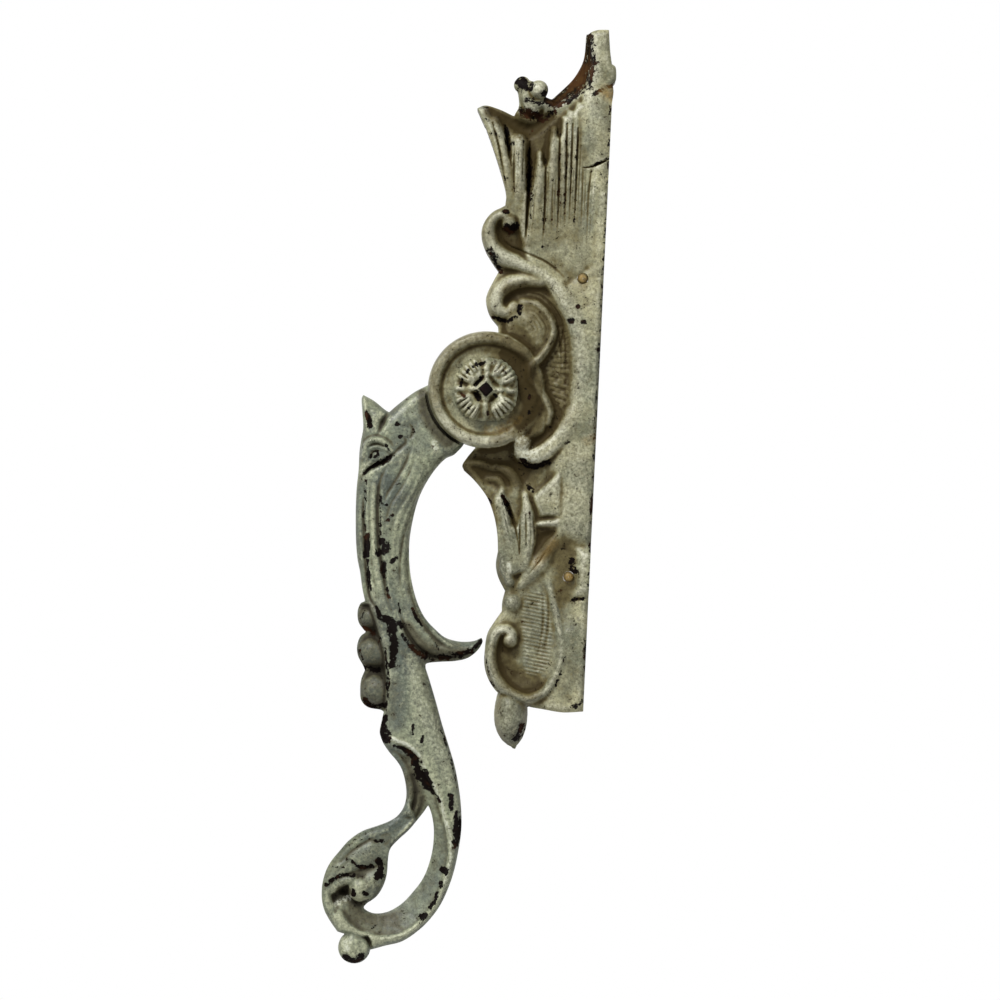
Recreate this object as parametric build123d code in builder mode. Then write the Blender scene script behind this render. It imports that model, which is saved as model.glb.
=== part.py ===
"""Lever-operated casement bolt (cremone) in ornamental cast iron.

A relief-cast case is screwed to the meeting stile of a door or window. Its lever turns a pinion, which
drives the upper rack down and, through an idler, the lower rack up, so that both bolt rods draw back.

Frame: X across the door, Z up, Y into the door. The origin is the lever's axis on the door face.
Depths are measured forward from the door face, so a depth of d lies at Y = -d.
"""

import os
from math import acos, cos, pi, radians, sin, tan

from build123d import *

# Motion
LEVER_TURN = 90.0  # degrees, from hanging to level

# Gear train
MODULE = 1.0
PRESSURE_ANGLE = 28.0
PINION_TEETH = 16
IDLER_TEETH = 10
ADDENDUM = 0.9 * MODULE
DEDENDUM = 1.2 * MODULE
FLANK_BACKLASH = 0.06
IDLER_Z = -6.0
RACK_WEB = 3.2
RACK_BACK = 3.4
RACK_TAIL_WIDTH = 7.6
RACK_TAIL_END = 4.0
MESH_REACH = 3.5

# Thicknesses, from the door face forward
PLATE_THICKNESS = 1.5
RACK_THICKNESS = 3.0
HUB_THICKNESS = 4.8
WASHER_THICKNESS = 0.5
CAP_THICKNESS = 2.5
GROUND_OVER_CAP = 0.5
RING_RISE = 3.0
ROSETTE_RISE = 5.4

# Clearances
FACE_RUN = 0.3
SIDE_RUN = 0.2
BORE_RUN = 0.05
SWEEP_GAP = 0.8

# Case
CASE_WALL = 1.6
BACK_WALL = 3.2
RING_RADIUS = 15.6
RING_INNER_RADIUS = 11.4
RIM_WALL = 1.5
CASE_TOP = 97.4
CASE_BOTTOM = -85.0
UPPER_SCREW_Z = 30.9
LOWER_SCREW_Z = -49.0
SCREW_HOLE_RADIUS = 1.5
PILLAR_RADIUS = 2.4
BOSS_RADIUS = 2.0
PLATE_SCREW_RADIUS = 1.0
PLATE_SCREW_HEAD_RADIUS = 1.9
PLATE_SCREW_LENGTH = 3.4
PLATE_SCREW_TIP_GAP = 0.4
ROD_GROOVE_WIDTH = 3.6

# Case ornament: how far each form stands over the ground or sinks into it
RING_EDGE_RISE = 0.4
DISH_FILLET = 1.0
FIELD_SINK = 1.2
SHELL_SINK = 1.8
HATCH_SINK = 2.4
HATCH_RISE = 1.4
HATCH_PITCH = 1.4
HATCH_RIBS = 8
STRIP_RISE = 1.0
PAD_RISE = 1.8
BEAD_END_SHARE = 0.72
REED_POINT_LENGTH = 2.4  # times the reed's width
EDGE_NUB = 0.8

# Opening under the ring for the arm, in degrees from X
ARM_SLOT_START = 84.0
ARM_SLOT_END = 250.0
ARM_SLOT_REACH = 1.4

# Pivot
SPINDLE_SQUARE = 6.0
SPINDLE_REAR_RADIUS = 2.5
SPINDLE_FRONT_RADIUS = 2.9
TANG_SQUARE = 2.6
TANG_TURN = 45.0
TANG_CHAMFER = 0.3
WASHER_RADIUS = 8.0
HUB_RADIUS = 13.4
ROSETTE_RADIUS = 9.0
ROSETTE_EDGE_RISE = 1.2
ROSETTE_EDGE_CHAMFER = 0.6
ROSETTE_COLLAR_RADIUS = 2.4
ROSETTE_COLLAR_RISE = 0.6
ROSETTE_LOBES = 4
LOBE_RIBS = 6
LOBE_SPREAD = 56.0  # degrees from a lobe's first groove to its last
RIB_GROOVE_RADIUS = 0.4
LOBE_NOTCH_RADIUS = 1.3
IDLER_PIN_RADIUS = 1.6
IDLER_PIN_SINK = 3.0
ROD_EYE_RADIUS = 1.6

# Depths that follow from the stack
rack_back = PLATE_THICKNESS + FACE_RUN
rack_front = rack_back + RACK_THICKNESS
hub_back = rack_front + FACE_RUN
hub_front = hub_back + HUB_THICKNESS
cap_back = hub_front + WASHER_THICKNESS + FACE_RUN / 3
ground = cap_back + GROUND_OVER_CAP
dish = cap_back + CAP_THICKNESS
ring_top = dish + RING_RISE
rosette_top = dish + ROSETTE_RISE

# Gear centres and the rod line that follows from them
pinion_pitch = MODULE * PINION_TEETH / 2
idler_pitch = MODULE * IDLER_TEETH / 2
idler_side = pinion_pitch + 2 * DEDENDUM + RACK_WEB
idler_x = idler_side + idler_pitch
lower_side = idler_x + idler_pitch
rack_edge = lower_side + DEDENDUM + RACK_BACK
tail_left = rack_edge - RACK_TAIL_WIDTH
rod_x = rack_edge - RACK_TAIL_WIDTH / 2
edge_x = rack_edge + SIDE_RUN + CASE_WALL
travel = pinion_pitch * radians(LEVER_TURN)
tooth_pitch = pi * MODULE

# Rack ends at rest: the two racks must pass each other's gears over the whole travel
upper_bottom = IDLER_Z - MESH_REACH
lower_top = IDLER_Z + MESH_REACH
arm_bottom = lower_top + 2 * travel + SWEEP_GAP
idler_tip = idler_pitch + ADDENDUM
tail_top = IDLER_Z - idler_tip - travel - SWEEP_GAP
slot_half = PILLAR_RADIUS + SIDE_RUN
upper_eye_z = UPPER_SCREW_Z + travel + slot_half + RACK_TAIL_END + ROD_EYE_RADIUS
lower_eye_z = LOWER_SCREW_Z - travel - slot_half - RACK_TAIL_END - ROD_EYE_RADIUS

# Chamber behind the case
chamber_left = pinion_pitch - ADDENDUM - FACE_RUN
chamber_bottom = tail_top - SIDE_RUN
chamber_top = arm_bottom + RACK_TAIL_WIDTH
boss_x = (idler_side + ADDENDUM + tail_left) / 2
pocket_right = tail_left - SIDE_RUN - CASE_WALL
lug_x = pinion_pitch + ADDENDUM + FACE_RUN + BOSS_RADIUS
arm_slot_turn = ARM_SLOT_END - ARM_SLOT_START
boss_spots = [
    (boss_x, (IDLER_Z + idler_tip + arm_bottom - travel) / 2),
    (boss_x, (IDLER_Z - idler_tip + chamber_bottom) / 2),
    (-lug_x, 0.0),
]


def front(depth):
    """The plane at that depth, seen from the front: its X is across and its Y is up."""
    return Plane.XZ.offset(depth)


def limb(stations):
    """A rounded limb through (x, z, width, back depth, front depth) stations."""
    centres = [Vector(x, -(back + face) / 2, z) for x, z, _, back, face in stations]
    last = len(centres) - 1
    with BuildPart() as shape:
        for k, (_, _, width, back, face) in enumerate(stations):
            heading = centres[min(k + 1, last)] - centres[max(k - 1, 0)]
            across = Plane(origin=centres[k], x_dir=(0, -1, 0), z_dir=(heading.X, 0, heading.Z))
            with BuildSketch(across):
                Ellipse((face - back) / 2, width / 2)
        loft()
    return shape.part


def bead(points, width, rise):
    """A half-buried scroll bead on the case ground, tapering to both ends."""
    count = len(points)
    swell = 1 - BEAD_END_SHARE
    taper = [BEAD_END_SHARE + swell * sin(pi * k / (count - 1)) for k in range(count)]
    return limb(
        [
            (x, z, width * share, ground - rise * share, ground + rise * share)
            for (x, z), share in zip(points, taper)
        ]
    )


def ball(x, z, depth, radius):
    """A round knob at that depth."""
    with BuildPart() as shape:
        with Locations((x, -depth, z)):
            Sphere(radius, rotation=(0, 0, 180))
    return shape.part


def reed(foot, tip, width, depth):
    """A straight round reed from its foot to its pointed tip, half buried at that depth."""
    length = (Vector(*tip) - Vector(*foot)).length
    heading = ((tip[0] - foot[0]) / length, 0, (tip[1] - foot[1]) / length)
    point_start = length - REED_POINT_LENGTH * width
    across = Plane(origin=(foot[0], -depth, foot[1]), x_dir=heading, z_dir=(0, -1, 0))
    with BuildPart() as shape:
        with BuildSketch(across):
            with BuildLine():
                shoulder = Polyline((0, 0), (0, width / 2), (point_start, width / 2))
                nose = TangentArc(shoulder @ 1, (length, 0), tangent=(1, 0))
                Line(nose @ 1, (0, 0))
            make_face()
        revolve(axis=Axis(across.origin, across.x_dir))
    return shape.part


def involute_flank(teeth, side):
    """Points of one tooth flank, from the base circle to the tip, about the tooth's own axis."""
    pitch = MODULE * teeth / 2
    base = pitch * cos(radians(PRESSURE_ANGLE))
    tip = pitch + ADDENDUM
    at_pitch = tan(radians(PRESSURE_ANGLE)) - radians(PRESSURE_ANGLE)
    half = pi / (2 * teeth) - FLANK_BACKLASH / pitch
    points = []
    for k in range(5):
        radius = base + (tip - base) * k / 4
        roll = acos(base / radius)
        angle = half + at_pitch - (tan(roll) - roll)
        points.append((radius * cos(angle), side * radius * sin(angle)))
    return points


def gear(teeth):
    """A spur gear sketch with involute teeth, the first pointing along X."""
    root = MODULE * teeth / 2 - DEDENDUM
    upper, lower = involute_flank(teeth, 1), involute_flank(teeth, -1)
    foot = root / 2
    with BuildSketch(Plane.XY) as tooth:
        with BuildLine():
            rising = Spline(*upper)
            falling = Spline(*lower)
            Line(rising @ 1, falling @ 1)
            Polyline(rising @ 0, (foot, upper[0][1]), (foot, lower[0][1]), falling @ 0)
        make_face()
    with BuildSketch(Plane.XY) as outline:
        Circle(root)
        with PolarLocations(0, teeth):
            add(tooth.sketch)
    return outline.sketch


def rack_tooth(x, z, toward):
    """Corner points of one rack tooth on a pitch line at x, pointing to -X or +X."""
    slope = tan(radians(PRESSURE_ANGLE))
    half_pitch = tooth_pitch / 4 - FLANK_BACKLASH
    tip_half = half_pitch - ADDENDUM * slope
    root_half = half_pitch + DEDENDUM * slope
    tip_x, root_x = x + toward * ADDENDUM, x - toward * DEDENDUM
    return [(root_x, z - root_half), (tip_x, z - tip_half), (tip_x, z + tip_half), (root_x, z + root_half)]


def rack_teeth(x, zero, low, high, toward):
    """Every rack tooth between two heights, with a tooth space centred on zero."""
    first = int((low - zero) / tooth_pitch) - 1
    last = int((high - zero) / tooth_pitch) + 1
    centres = [zero + (k + 0.5) * tooth_pitch for k in range(first, last + 1)]
    reach = tooth_pitch / 2
    return [rack_tooth(x, z, toward) for z in centres if low + reach <= z <= high - reach]


def slotted_tail(low, high, slot_low, slot_high, eye_z):
    """A rack's tail on the rod line, slotted round a screw pillar and pierced by the rod eye."""
    with BuildSketch(Plane.XY) as tail:
        with Locations((rod_x, (low + high) / 2)):
            Rectangle(RACK_TAIL_WIDTH, high - low)
        with Locations((rod_x, (slot_low + slot_high) / 2)):
            SlotCenterToCenter(slot_high - slot_low, 2 * slot_half, rotation=90, mode=Mode.SUBTRACT)
        with Locations((rod_x, eye_z)):
            Circle(ROD_EYE_RADIUS, mode=Mode.SUBTRACT)
    return tail.sketch


# Case ornament on the front, listed as (x, z) from the lever's axis
c_scroll = [
    (5.2, 44.2),
    (2.4, 47.0),
    (-0.6, 44.4),
    (-0.6, 39.6),
    (3.2, 35.4),
    (9.4, 33.2),
    (15.6, 30.2),
    (20.6, 24.6),
    (24.0, 16.6),
    (25.4, 6.6),
    (24.8, -3.4),
    (21.6, -11.8),
    (16.8, -16.8),
    (12.2, -17.0),
    (10.2, -13.6),
]
inner_curl = [(13.4, 29.6), (7.4, 30.4), (2.8, 28.0), (1.4, 23.8), (4.0, 20.6), (7.0, 22.4)]
inner_ridge = [
    (9.6, 25.0),
    (14.6, 21.0),
    (16.8, 15.0),
    (15.2, 9.6),
    (13.4, 4.6),
    (14.6, 0.2),
    (17.0, -5.0),
    (17.6, -11.0),
]
shell_band = [
    (10.6, -69.0),
    (10.0, -66.2),
    (7.4, -65.0),
    (5.2, -67.0),
    (4.5, -71.4),
    (6.2, -76.6),
    (9.8, -80.6),
    (14.4, -81.8),
    (19.4, -80.0),
    (22.6, -75.2),
    (23.4, -68.4),
    (22.6, -60.0),
    (21.4, -50.0),
]
upper_reeds = [
    ((5.0, 50.0), (-3.6, 73.6), 4.8),
    ((7.0, 50.0), (5.4, 67.6), 4.0),
    ((11.2, 38.0), (11.4, 65.0), 2.6),
    ((13.6, 37.0), (14.0, 72.4), 2.5),
    ((16.0, 36.0), (16.6, 76.0), 2.5),
    ((18.4, 34.4), (19.6, 78.2), 2.6),
    ((21.4, 31.6), (23.4, 80.6), 3.6),
]
lower_reeds = [
    ((9.4, -49.0), (5.4, -27.6), 3.2),
    ((11.4, -49.4), (10.0, -27.0), 2.8),
    ((13.4, -48.6), (13.4, -29.2), 2.6),
    ((15.6, -45.6), (17.2, -30.6), 2.8),
]

# Case
case_beads = [
    bead(c_scroll, 5.2, 3.0),
    bead(inner_curl, 4.6, 2.6),
    bead(inner_ridge, 2.4, 1.2),
    bead(shell_band, 3.8, 2.6),
]
case_reeds = [reed(foot, tip, width, ground) for foot, tip, width in upper_reeds + lower_reeds]
bud = limb(
    [
        (11.4, -82.6, 4.0, ground - 4.0, ground),
        (11.0, -85.4, 8.0, ground - 6.0, ground + 1.6),
        (10.8, -88.6, 9.4, ground - 6.6, ground + 2.4),
        (10.9, -92.0, 7.4, ground - 5.6, ground + 1.4),
        (11.1, -95.0, 2.4, ground - 3.2, ground - 0.8),
    ]
)
case_knobs = [
    ball(*c_scroll[0], ground, 2.8),
    ball(*c_scroll[-1], ground, 2.6),
    ball(*inner_curl[-1], ground, 2.4),
    ball(*shell_band[0], ground, 2.2),
    ball(9.6, -56.2, ground - 1.0, 2.9),
    ball(7.6, -49.6, ground - 0.6, 2.5),
    ball(10.4, 78.8, ground - 2.0, 2.9),
    ball(7.0, 80.4, ground - 3.4, 2.1),
]

with BuildPart() as case:
    with BuildSketch(front(0)):
        with BuildLine():
            Polyline(
                (15.2, CASE_BOTTOM + 0.6),
                (edge_x, CASE_BOTTOM),
                (edge_x, 83.2),
                (edge_x + EDGE_NUB, 84.6),
                (edge_x + EDGE_NUB, 87.4),
                (edge_x - EDGE_NUB, 88.6),
                (edge_x - 2 * EDGE_NUB, CASE_TOP),
                (22.4, CASE_TOP - 1.0),
            )
            ThreePointArc((22.4, CASE_TOP - 1.0), (18.8, 84.2), (11.4, 78.0))
            ThreePointArc((11.4, 78.0), (4.6, 73.8), (-1.0, 75.8))
            Line((-1.0, 75.8), (-6.0, 76.0))
            ThreePointArc((-6.0, 76.0), (-0.6, 62.6), (2.6, 49.8))
            ThreePointArc((2.6, 49.8), (-3.3, 41.2), (1.7, 32.0))
            ThreePointArc((1.7, 32.0), (-1.1, 24.0), (2.4, 17.2))
            Polyline((2.4, 17.2), (2.4, 6.0), (-4.0, -12.0), (-5.0, -20.0))
            Spline((-5.0, -20.0), (0.2, -26.8), (4.1, -34.7), (5.2, -43.0))
            ThreePointArc((5.2, -43.0), (4.8, -48.6), (7.8, -53.4))
            ThreePointArc((7.8, -53.4), (6.7, -56.6), (7.0, -60.2))
            Spline((7.0, -60.2), (2.7, -69.6), (7.2, -81.4), (15.2, CASE_BOTTOM + 0.6))
        make_face()
        Circle(RING_RADIUS)
    extrude(amount=ground)
    with BuildSketch(front(ground)):
        with BuildLine():
            Spline((12.0, 27.0), (18.4, 21.0), (21.4, 12.0), (22.0, 4.0), (20.4, -6.0), (14.6, -13.4))
            ThreePointArc((14.6, -13.4), (19.0, 6.0), (12.0, 27.0))
        make_face()
    extrude(amount=-FIELD_SINK, mode=Mode.SUBTRACT)
    with BuildSketch(front(ground)):
        with Locations((14.2, -70.0)):
            Ellipse(7.4, 9.6)
    with BuildSketch(front(ground - SHELL_SINK)):
        with Locations((14.2, -70.0)):
            Ellipse(6.2, 8.2)
    loft(mode=Mode.SUBTRACT)
    add(case_reeds)
    add(case_beads)
    add(case_knobs)
    add(bud)
    with BuildSketch(front(ground)):
        with Locations((edge_x - CASE_WALL, 43.0)):
            Rectangle(2 * CASE_WALL, 48.0)
        with Locations((edge_x - 4.6, -29.0)):
            Rectangle(8.4, 22.0)
        with Locations((edge_x - 3.4, -79.0)):
            Rectangle(6.4, 10.4)
    extrude(amount=STRIP_RISE)
    with BuildSketch(front(ground)):
        with Locations((edge_x - 2.2, -49.0)):
            Rectangle(3.4, 15.0)
    extrude(amount=PAD_RISE)
    with BuildSketch(front(ground - HATCH_SINK)):
        with Locations((17.6, -68.0)):
            with GridLocations(0, HATCH_PITCH, 1, HATCH_RIBS):
                Rectangle(5.0, HATCH_PITCH / 2)
    extrude(amount=HATCH_RISE)
    with BuildSketch(Plane.YZ):
        with BuildLine():
            side = Polyline((-cap_back, 0), (-cap_back, RING_RADIUS), (-dish - RING_EDGE_RISE, RING_RADIUS))
            crown = ThreePointArc(
                side @ 1,
                (-ring_top, (RING_RADIUS + RING_INNER_RADIUS) / 2),
                (-dish - RING_EDGE_RISE / 2, RING_INNER_RADIUS),
            )
            Polyline(crown @ 1, (-dish, RING_INNER_RADIUS - DISH_FILLET), (-dish, 0), side @ 0)
        make_face()
    revolve(axis=Axis.Y)
    with BuildSketch(front(0)):
        with Locations(((chamber_left + rack_edge + SIDE_RUN) / 2, (chamber_bottom + chamber_top) / 2)):
            Rectangle(rack_edge + SIDE_RUN - chamber_left, chamber_top - chamber_bottom)
        with Locations((rod_x, (CASE_BOTTOM + upper_eye_z + RACK_TAIL_END) / 2)):
            Rectangle(RACK_TAIL_WIDTH + 2 * SIDE_RUN, upper_eye_z + RACK_TAIL_END - CASE_BOTTOM)
        with Locations((rod_x, CASE_TOP / 2)):
            Rectangle(ROD_GROOVE_WIDTH, CASE_TOP)
        Circle(RING_RADIUS - RIM_WALL)
        with Locations((rod_x, UPPER_SCREW_Z), (rod_x, LOWER_SCREW_Z)):
            Circle(PILLAR_RADIUS, mode=Mode.SUBTRACT)
    extrude(amount=hub_back, mode=Mode.SUBTRACT)
    with BuildSketch(front(0)):
        Polygon(
            (5.4, 52.0),
            (0.6, 71.0),
            (9.6, 72.0),
            (pocket_right, 80.0),
            (pocket_right, 37.0),
            (8.4, 37.0),
            align=None,
        )
        Polygon(
            (3.4, chamber_bottom - BACK_WALL),
            (7.8, -37.0),
            (10.0, -60.0),
            (6.6, -70.0),
            (10.8, -79.0),
            (pocket_right, CASE_BOTTOM + BACK_WALL),
            (pocket_right, chamber_bottom - BACK_WALL),
            align=None,
        )
    extrude(amount=ground - BACK_WALL, mode=Mode.SUBTRACT)
    with BuildSketch(front(PLATE_THICKNESS)):
        with Locations(*boss_spots):
            Circle(BOSS_RADIUS)
        with Locations((-lug_x, 0)):
            Rectangle(RING_RADIUS - lug_x - RIM_WALL / 2, 2 * BOSS_RADIUS, align=(Align.MAX, Align.CENTER))
    extrude(amount=hub_back - PLATE_THICKNESS)
    with BuildSketch(front(hub_back)):
        Circle(RING_RADIUS - RIM_WALL)
    extrude(amount=cap_back - hub_back, mode=Mode.SUBTRACT)
    with BuildSketch(front(rack_front)):
        with BuildLine():
            sweep = CenterArc((0, 0), RING_RADIUS + ARM_SLOT_REACH, ARM_SLOT_START, arm_slot_turn)
            Polyline(sweep @ 1, (0, 0), sweep @ 0)
        make_face()
    extrude(amount=cap_back - rack_front, mode=Mode.SUBTRACT)
    with Locations(front(dish)):
        Hole(SPINDLE_FRONT_RADIUS + BORE_RUN, depth=dish - hub_back)
    with Locations(front(ring_top)):
        with Locations((rod_x, UPPER_SCREW_Z), (rod_x, LOWER_SCREW_Z)):
            Hole(SCREW_HOLE_RADIUS)
    with Locations(Plane(origin=(0, -PLATE_THICKNESS, 0), x_dir=(1, 0, 0), z_dir=(0, 1, 0))):
        with Locations(*[(x, -z) for x, z in boss_spots]):
            Hole(PLATE_SCREW_RADIUS, depth=PLATE_SCREW_LENGTH)
    with Locations(Plane(origin=(idler_x, -hub_back, IDLER_Z), x_dir=(1, 0, 0), z_dir=(0, 1, 0))):
        Hole(IDLER_PIN_RADIUS, depth=IDLER_PIN_SINK)
case.part.label = "case"

# Back plate, let into the back of the case over the gear chamber
with BuildPart() as back_plate:
    with BuildSketch(front(0)):
        with Locations(((chamber_left + rack_edge + SIDE_RUN) / 2, (chamber_bottom + chamber_top) / 2)):
            Rectangle(rack_edge - SIDE_RUN - chamber_left, chamber_top - chamber_bottom - 2 * SIDE_RUN)
        Circle(RING_RADIUS - RIM_WALL - SIDE_RUN)
        Circle(SPINDLE_REAR_RADIUS + BORE_RUN, mode=Mode.SUBTRACT)
        with Locations((rod_x, UPPER_SCREW_Z)):
            Circle(slot_half, mode=Mode.SUBTRACT)
    extrude(amount=PLATE_THICKNESS)
    with Locations(Plane(origin=(0, 0, 0), x_dir=(1, 0, 0), z_dir=(0, 1, 0))):
        with Locations(*[(x, -z) for x, z in boss_spots]):
            CounterSinkHole(
                PLATE_SCREW_RADIUS + BORE_RUN,
                PLATE_SCREW_HEAD_RADIUS + BORE_RUN,
                counter_sink_angle=90,
            )
back_plate.part.label = "back_plate"

# Countersunk screws that hold the back plate
screw_tip = PLATE_THICKNESS + PLATE_SCREW_LENGTH - PLATE_SCREW_TIP_GAP
with BuildPart() as back_plate_screws:
    for x, z in boss_spots:
        with BuildSketch(Plane.YZ.offset(x)):
            with BuildLine():
                Polyline(
                    (0, z),
                    (0, z + PLATE_SCREW_HEAD_RADIUS),
                    (PLATE_SCREW_RADIUS - PLATE_SCREW_HEAD_RADIUS, z + PLATE_SCREW_RADIUS),
                    (-screw_tip, z + PLATE_SCREW_RADIUS),
                    (-screw_tip, z),
                    close=True,
                )
            make_face()
        revolve(axis=Axis((x, 0, z), (0, 1, 0)))
back_plate_screws.part.label = "back_plate_screws"

# Spindle: rear journal, square for pinion and lever, front journal, square tang that stands on a corner
with BuildPart() as spindle:
    with BuildSketch(front(0)):
        Circle(SPINDLE_REAR_RADIUS)
    extrude(amount=rack_back)
    with BuildSketch(front(rack_back)):
        Rectangle(SPINDLE_SQUARE, SPINDLE_SQUARE)
    extrude(amount=hub_front - rack_back)
    with BuildSketch(front(hub_front)):
        Circle(SPINDLE_FRONT_RADIUS)
    extrude(amount=dish - hub_front)
    with BuildSketch(front(dish)):
        Rectangle(TANG_SQUARE, TANG_SQUARE, TANG_TURN)
    extrude(amount=rosette_top - dish)
    chamfer(spindle.faces().sort_by(Axis.Y)[0].edges(), TANG_CHAMFER)
spindle.part.label = "spindle"

# Pinion on the spindle's square
with BuildPart() as pinion:
    with BuildSketch(front(rack_back)):
        add(gear(PINION_TEETH))
        Rectangle(SPINDLE_SQUARE + 2 * BORE_RUN, SPINDLE_SQUARE + 2 * BORE_RUN, mode=Mode.SUBTRACT)
    extrude(amount=hub_back - rack_back)
pinion.part.label = "pinion"

# Idler that reverses the lower rack, and the pin it turns on
with BuildPart() as idler_pinion:
    with BuildSketch(front(rack_back)):
        with Locations((idler_x, IDLER_Z)):
            add(gear(IDLER_TEETH))
            Circle(IDLER_PIN_RADIUS + BORE_RUN, mode=Mode.SUBTRACT)
    extrude(amount=RACK_THICKNESS)
idler_pinion.part.label = "idler_pinion"

with BuildPart() as idler_pin:
    with BuildSketch(front(PLATE_THICKNESS)):
        with Locations((idler_x, IDLER_Z)):
            Circle(IDLER_PIN_RADIUS)
    extrude(amount=hub_back + IDLER_PIN_SINK - PLATE_THICKNESS)
idler_pin.part.label = "idler_pin"

# Upper rack: double-toothed web, cross arm and slotted tail
with BuildPart() as upper_rack:
    web_left, web_right = pinion_pitch + DEDENDUM, idler_side - DEDENDUM
    with BuildSketch(front(rack_back)):
        with Locations(((web_left + web_right) / 2, (upper_bottom + arm_bottom + 1.0) / 2)):
            Rectangle(web_right - web_left, arm_bottom + 1.0 - upper_bottom)
        arm_height = UPPER_SCREW_Z - slot_half - arm_bottom
        with Locations(((web_left + rack_edge) / 2, arm_bottom + arm_height / 2)):
            Rectangle(rack_edge - web_left, arm_height)
        for tooth in rack_teeth(pinion_pitch, 0, -MESH_REACH, travel + MESH_REACH, -1):
            Polygon(*tooth, align=None)
        for tooth in rack_teeth(idler_side, IDLER_Z, upper_bottom, IDLER_Z + travel + MESH_REACH, 1):
            Polygon(*tooth, align=None)
        add(
            slotted_tail(
                arm_bottom,
                upper_eye_z + RACK_TAIL_END,
                UPPER_SCREW_Z,
                UPPER_SCREW_Z + travel,
                upper_eye_z,
            )
        )
    extrude(amount=RACK_THICKNESS)
upper_rack.part.label = "upper_rack"

# Lower rack: single-toothed web and slotted tail
with BuildPart() as lower_rack:
    with BuildSketch(front(rack_back)):
        with Locations((rack_edge - RACK_BACK / 2, (lower_top + tail_top - 1.0) / 2)):
            Rectangle(RACK_BACK, lower_top - tail_top + 1.0)
        for tooth in rack_teeth(lower_side, IDLER_Z, IDLER_Z - travel - MESH_REACH, lower_top, -1):
            Polygon(*tooth, align=None)
        add(
            slotted_tail(
                lower_eye_z - RACK_TAIL_END,
                tail_top,
                LOWER_SCREW_Z - travel,
                LOWER_SCREW_Z,
                lower_eye_z,
            )
        )
    extrude(amount=RACK_THICKNESS)
lower_rack.part.label = "lower_rack"

# Thrust washer between the lever hub and the case cap
with BuildPart() as thrust_washer:
    with BuildSketch(front(hub_front)):
        Circle(WASHER_RADIUS)
        Circle(SPINDLE_FRONT_RADIUS + BORE_RUN, mode=Mode.SUBTRACT)
    extrude(amount=WASHER_THICKNESS)
thrust_washer.part.label = "thrust_washer"

# Rosette on the tang, in the dish of the case ring: a dome cut into ribbed lobes
rosette_back = dish + FACE_RUN
rosette_edge = dish + ROSETTE_EDGE_RISE
shoulder = rosette_top - ROSETTE_COLLAR_RISE
shoulder_radius = ROSETTE_COLLAR_RADIUS + ROSETTE_COLLAR_RISE
dome_radius = (ROSETTE_RADIUS + shoulder_radius) / 2
dome_depth = shoulder - (shoulder - rosette_edge) / 4
groove_length = ROSETTE_RADIUS - shoulder_radius
lobe_pitch = 360 / ROSETTE_LOBES
with BuildPart() as rosette:
    with BuildSketch(Plane.YZ):
        with BuildLine():
            rim = Polyline(
                (-rosette_back, 0),
                (-rosette_back, ROSETTE_RADIUS - ROSETTE_EDGE_CHAMFER),
                (-rosette_edge, ROSETTE_RADIUS),
            )
            dome = ThreePointArc(rim @ 1, (-dome_depth, dome_radius), (-shoulder, shoulder_radius))
            Polyline(dome @ 1, (-rosette_top, ROSETTE_COLLAR_RADIUS), (-rosette_top, 0), rim @ 0)
        make_face()
    revolve(axis=Axis.Y)
    with BuildSketch(front(rosette_back)):
        with PolarLocations(ROSETTE_RADIUS + LOBE_NOTCH_RADIUS / 2, ROSETTE_LOBES):
            Circle(LOBE_NOTCH_RADIUS)
    extrude(amount=ROSETTE_RISE, mode=Mode.SUBTRACT)
    for lobe in range(ROSETTE_LOBES):
        for rib in range(LOBE_RIBS):
            share = rib / (LOBE_RIBS - 1) - 0.5
            turn = radians((lobe + 0.5) * lobe_pitch + LOBE_SPREAD * share)
            groove = Plane(
                origin=(dome_radius * cos(turn), -dome_depth, dome_radius * sin(turn)),
                z_dir=(groove_length * cos(turn), shoulder - rosette_edge, groove_length * sin(turn)),
            )
            with Locations(groove):
                Cylinder(RIB_GROOVE_RADIUS, groove_length, mode=Mode.SUBTRACT)
    with BuildSketch(front(dish)):
        Rectangle(TANG_SQUARE + 2 * BORE_RUN, TANG_SQUARE + 2 * BORE_RUN, TANG_TURN)
    extrude(amount=ROSETTE_RISE, mode=Mode.SUBTRACT)
rosette.part.label = "rosette"

# Lever: hub, arm, hook, stem, loop with bud, side lobes and end knob
arm = [
    (-7.2, -5.2, 14.4, hub_back + 0.6, hub_front - 0.6),
    (-11.8, -8.2, 16.6, hub_back + 0.4, hub_front - 0.4),
    (-15.0, -10.6, 18.6, hub_back + 0.1, hub_front - 0.1),
    (-20.0, -15.2, 19.8, hub_back - 0.6, hub_front + 1.4),
    (-23.8, -22.4, 19.4, hub_back - 1.0, hub_front + 2.2),
    (-25.4, -33.0, 16.2, hub_back - 0.8, hub_front + 2.8),
    (-25.3, -46.5, 13.8, hub_back - 0.2, hub_front + 3.4),
    (-23.4, -58.0, 12.8, hub_back + 0.6, hub_front + 4.0),
    (-20.6, -68.5, 12.4, hub_back + 1.4, hub_front + 4.4),
    (-17.8, -79.0, 12.8, hub_back + 2.0, hub_front + 4.6),
    (-15.2, -90.0, 15.4, hub_back + 2.6, hub_front + 4.8),
    (-11.0, -99.5, 13.4, hub_back + 3.0, hub_front + 4.8),
    (-7.2, -107.6, 9.6, hub_back + 3.2, hub_front + 4.8),
]
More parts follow.
